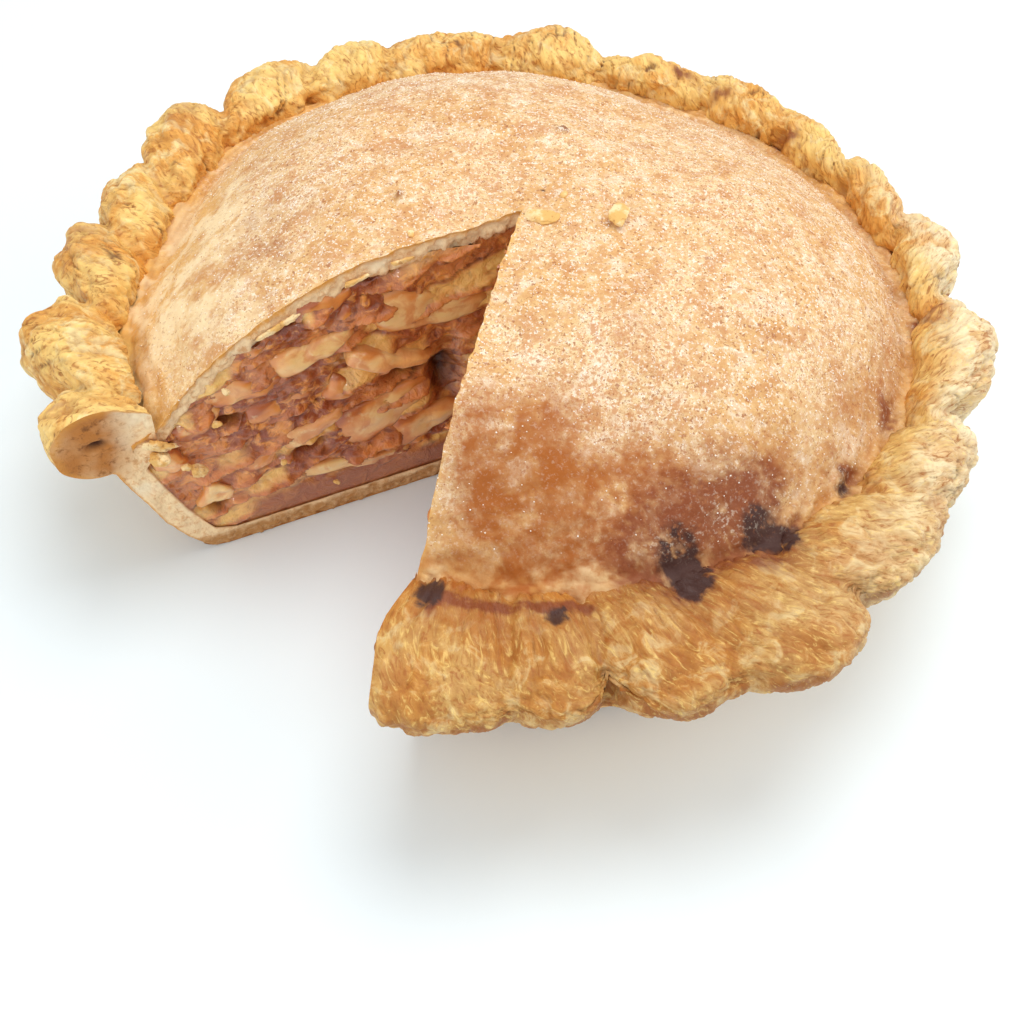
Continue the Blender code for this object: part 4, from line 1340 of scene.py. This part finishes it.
def scraps():
    pieces = []
    for number, (azimuth, distance, length, wide, thick, turn, curl, lift) in enumerate(LID_SCRAPS):
        here, axes = on_lid(azimuth, distance)
        slab = torn_scrap((length, wide, thick), turn, curl, number, 0.32)
        pieces.append(here + (slab + (0.0, 0.0, lift)) @ axes)
    azimuth, out = SIDES[2]
    across, back = turn_of(azimuth)
    for number, (distance, height, length, deep, thick, tilt, proud) in enumerate(CUT_SCRAPS):
        slab = torn_scrap((length, thick, deep), tilt, 0.10, 20 + number, 0.65)
        axes = np.stack((np.array((float(across), float(back), 0.0)), np.array((0.0, 0.0, 1.0)), out))
        here = place(np.array(distance), azimuth, np.array(height))
        pieces.append(here + (slab + (0.0, 0.0, proud)) @ axes)
    return pieces


scrap_points = scraps()
lid_scraps = joined_slabs("dough_scraps", scrap_points[:len(LID_SCRAPS)], CRUST_CRUMB, {})
belongs(lid_scraps, "top_crust")
cut_crumbs = joined_slabs("cut_crumbs", scrap_points[len(LID_SCRAPS):], CRUST_CRUMB, {})
belongs(cut_crumbs, "filling")

# %% [markdown]
# Sugar and cinnamon. The lid was strewn with cinnamon sugar before baking. From close up there
# are single crystals and brown flecks, so some thousands of them are made as tiny boxes of true
# size, 0.2 to 0.4 mm, each turned its own way and sunk a little into the lid. Their places are
# drawn over the lid's own grid, more where the dust attribute is high. Each kind is one mesh.

# %% Sugar and cinnamon
def grain_finish(name, light, dark, roughness):
    f = Finish(name, roughness)
    patches = f.noise(0.0030, 3.0, 0.6)
    return f.finish(f.over(tone(*light), tone(*dark), f.between(patches, 0.35, 0.65)))


def random_turns(draw, count):
    """Random rotations, as a stack of three axes each."""
    first = draw.normal(size=(count, 3))
    first = first / np.linalg.norm(first, axis=1, keepdims=True)
    second = np.cross(first, draw.normal(size=(count, 3)))
    second = second / np.linalg.norm(second, axis=1, keepdims=True)
    return np.stack((first, second, np.cross(first, second)), axis=1)


BOX_POINTS = np.array([(x, y, z) for x in (-0.5, 0.5) for y in (-0.5, 0.5) for z in (-0.5, 0.5)])
BOX_FACES = np.array(((0, 1, 3, 2), (4, 6, 7, 5), (0, 4, 5, 1), (2, 3, 7, 6), (0, 2, 6, 4), (1, 5, 7, 3)))


def strewn(name, count, low, high, shape, material, seed):
    """Tiny boxes drawn over the lid."""
    draw = np.random.default_rng(seed)
    along = np.diff(LID_GRID, axis=1)[:-1]
    outwards = np.diff(LID_GRID, axis=0)[:, :-1]
    area = np.linalg.norm(np.cross(along, outwards), axis=-1)
    bare = 1.0 - 0.85 * np.clip(lid_paint["toast"] + lid_paint["burn"], 0, 1)[:-1, :-1]
    weight = area * (0.05 + lid_paint["dust"][:-1, :-1] ** 2) * bare
    weight[-12:] = 0.0
    chance = (weight / weight.sum()).ravel()
    cells = draw.choice(chance.size, size=count, p=chance)
    row, column = np.unravel_index(cells, weight.shape)
    middle = LID_GRID[row, column] + along[row, column] * draw.uniform(size=(count, 1))
    middle = middle + outwards[row, column] * draw.uniform(size=(count, 1))
    size = draw.uniform(low, high, size=(count, 1, 1)) * draw.uniform(0.7, 1.0, size=(count, 1, 3))
    size = size * np.array(shape)
    points = (BOX_POINTS * size) @ random_turns(draw, count)
    normal = normals_of(LID_GRID)[row, column]
    points = points + (middle + 0.12 * low * normal)[:, None]
    faces = (BOX_FACES[None] + 8 * np.arange(count)[:, None, None]).reshape(-1, 4)
    return belongs(link_mesh(name, points, faces, material), "top_crust")


SUGAR = grain_finish("sugar_crystal", (255, 250, 240), (250, 232, 208), 0.30)
CINNAMON = grain_finish("cinnamon_fleck", (200, 128, 72), (156, 92, 50), 0.75)
sugar_crystals = strewn("sugar_crystals", 5600, 0.00022, 0.00040, (1.0, 1.0, 1.0), SUGAR, 101)
cinnamon_flecks = strewn("cinnamon_flecks", 5200, 0.00018, 0.00038, (1.0, 0.7, 0.45), CINNAMON, 102)
for thing in (sugar_crystals, cinnamon_flecks):
    for face in thing.data.polygons:
        face.use_smooth = False

# %% [markdown]
# The floor and the light. The pie stands on a plain pale surface that runs out of view on all
# sides. A large soft lamp hangs behind and above, as a window would, two more fill from the front
# left and the right, and an even white surrounding keeps the shadows open. A small lamp in front
# gives the wet fruit its sharp glints.

# %% Floor and light
FLOOR_REACH = 6.0
FLOOR_DROP = 0.0002
LAMP_AIM = Vector((0.0, 0.0, 0.03))


def add_floor():
    data = bpy.data.meshes.new("pale_floor")
    signs = ((-1, -1), (1, -1), (1, 1), (-1, 1))
    corners = [(FLOOR_REACH * x, FLOOR_REACH * y, 0.0) for x, y in signs]
    data.from_pydata(corners, [], [(0, 1, 2, 3)])
    material = bpy.data.materials.new("pale_floor")
    material.use_nodes = True
    shader = material.node_tree.nodes["Principled BSDF"]
    shader.inputs["Base Color"].default_value = tone(238, 248, 251)
    shader.inputs["Roughness"].default_value = 0.55
    data.materials.append(material)
    floor = bpy.data.objects.new("pale_floor", data)
    floor.location.z = -FLOOR_DROP
    bpy.context.scene.collection.objects.link(floor)


def add_lamp(name, place_at, size, power):
    """A round lamp turned to the middle of the pie."""
    data = bpy.data.lights.new(name, "AREA")
    data.shape = "DISK"
    data.size = size
    data.energy = power
    lamp = bpy.data.objects.new(name, data)
    lamp.location = place_at
    lamp.rotation_euler = (LAMP_AIM - Vector(place_at)).to_track_quat("-Z", "Y").to_euler()
    bpy.context.scene.collection.objects.link(lamp)


def add_surrounding(strength):
    world = bpy.data.worlds.new("studio")
    world.use_nodes = True
    background = world.node_tree.nodes["Background"]
    background.inputs["Color"].default_value = (0.97, 0.985, 1.0, 1.0)
    background.inputs["Strength"].default_value = strength
    bpy.context.scene.world = world


add_floor()
add_surrounding(0.68)
add_lamp("top_window", (0.10, 0.26, 1.12), 0.74, 5.9)
add_lamp("left_panel", (-0.60, -0.72, 0.56), 0.60, 1.7)
add_lamp("front_glint", (-0.42, -0.86, 0.62), 0.10, 0.7)
add_lamp("right_panel", (0.90, 0.10, 0.58), 1.00, 2.9)
bpy.context.scene.view_settings.view_transform = "Standard"
print("floor and lamps in place")

# %% End
print("scene built")
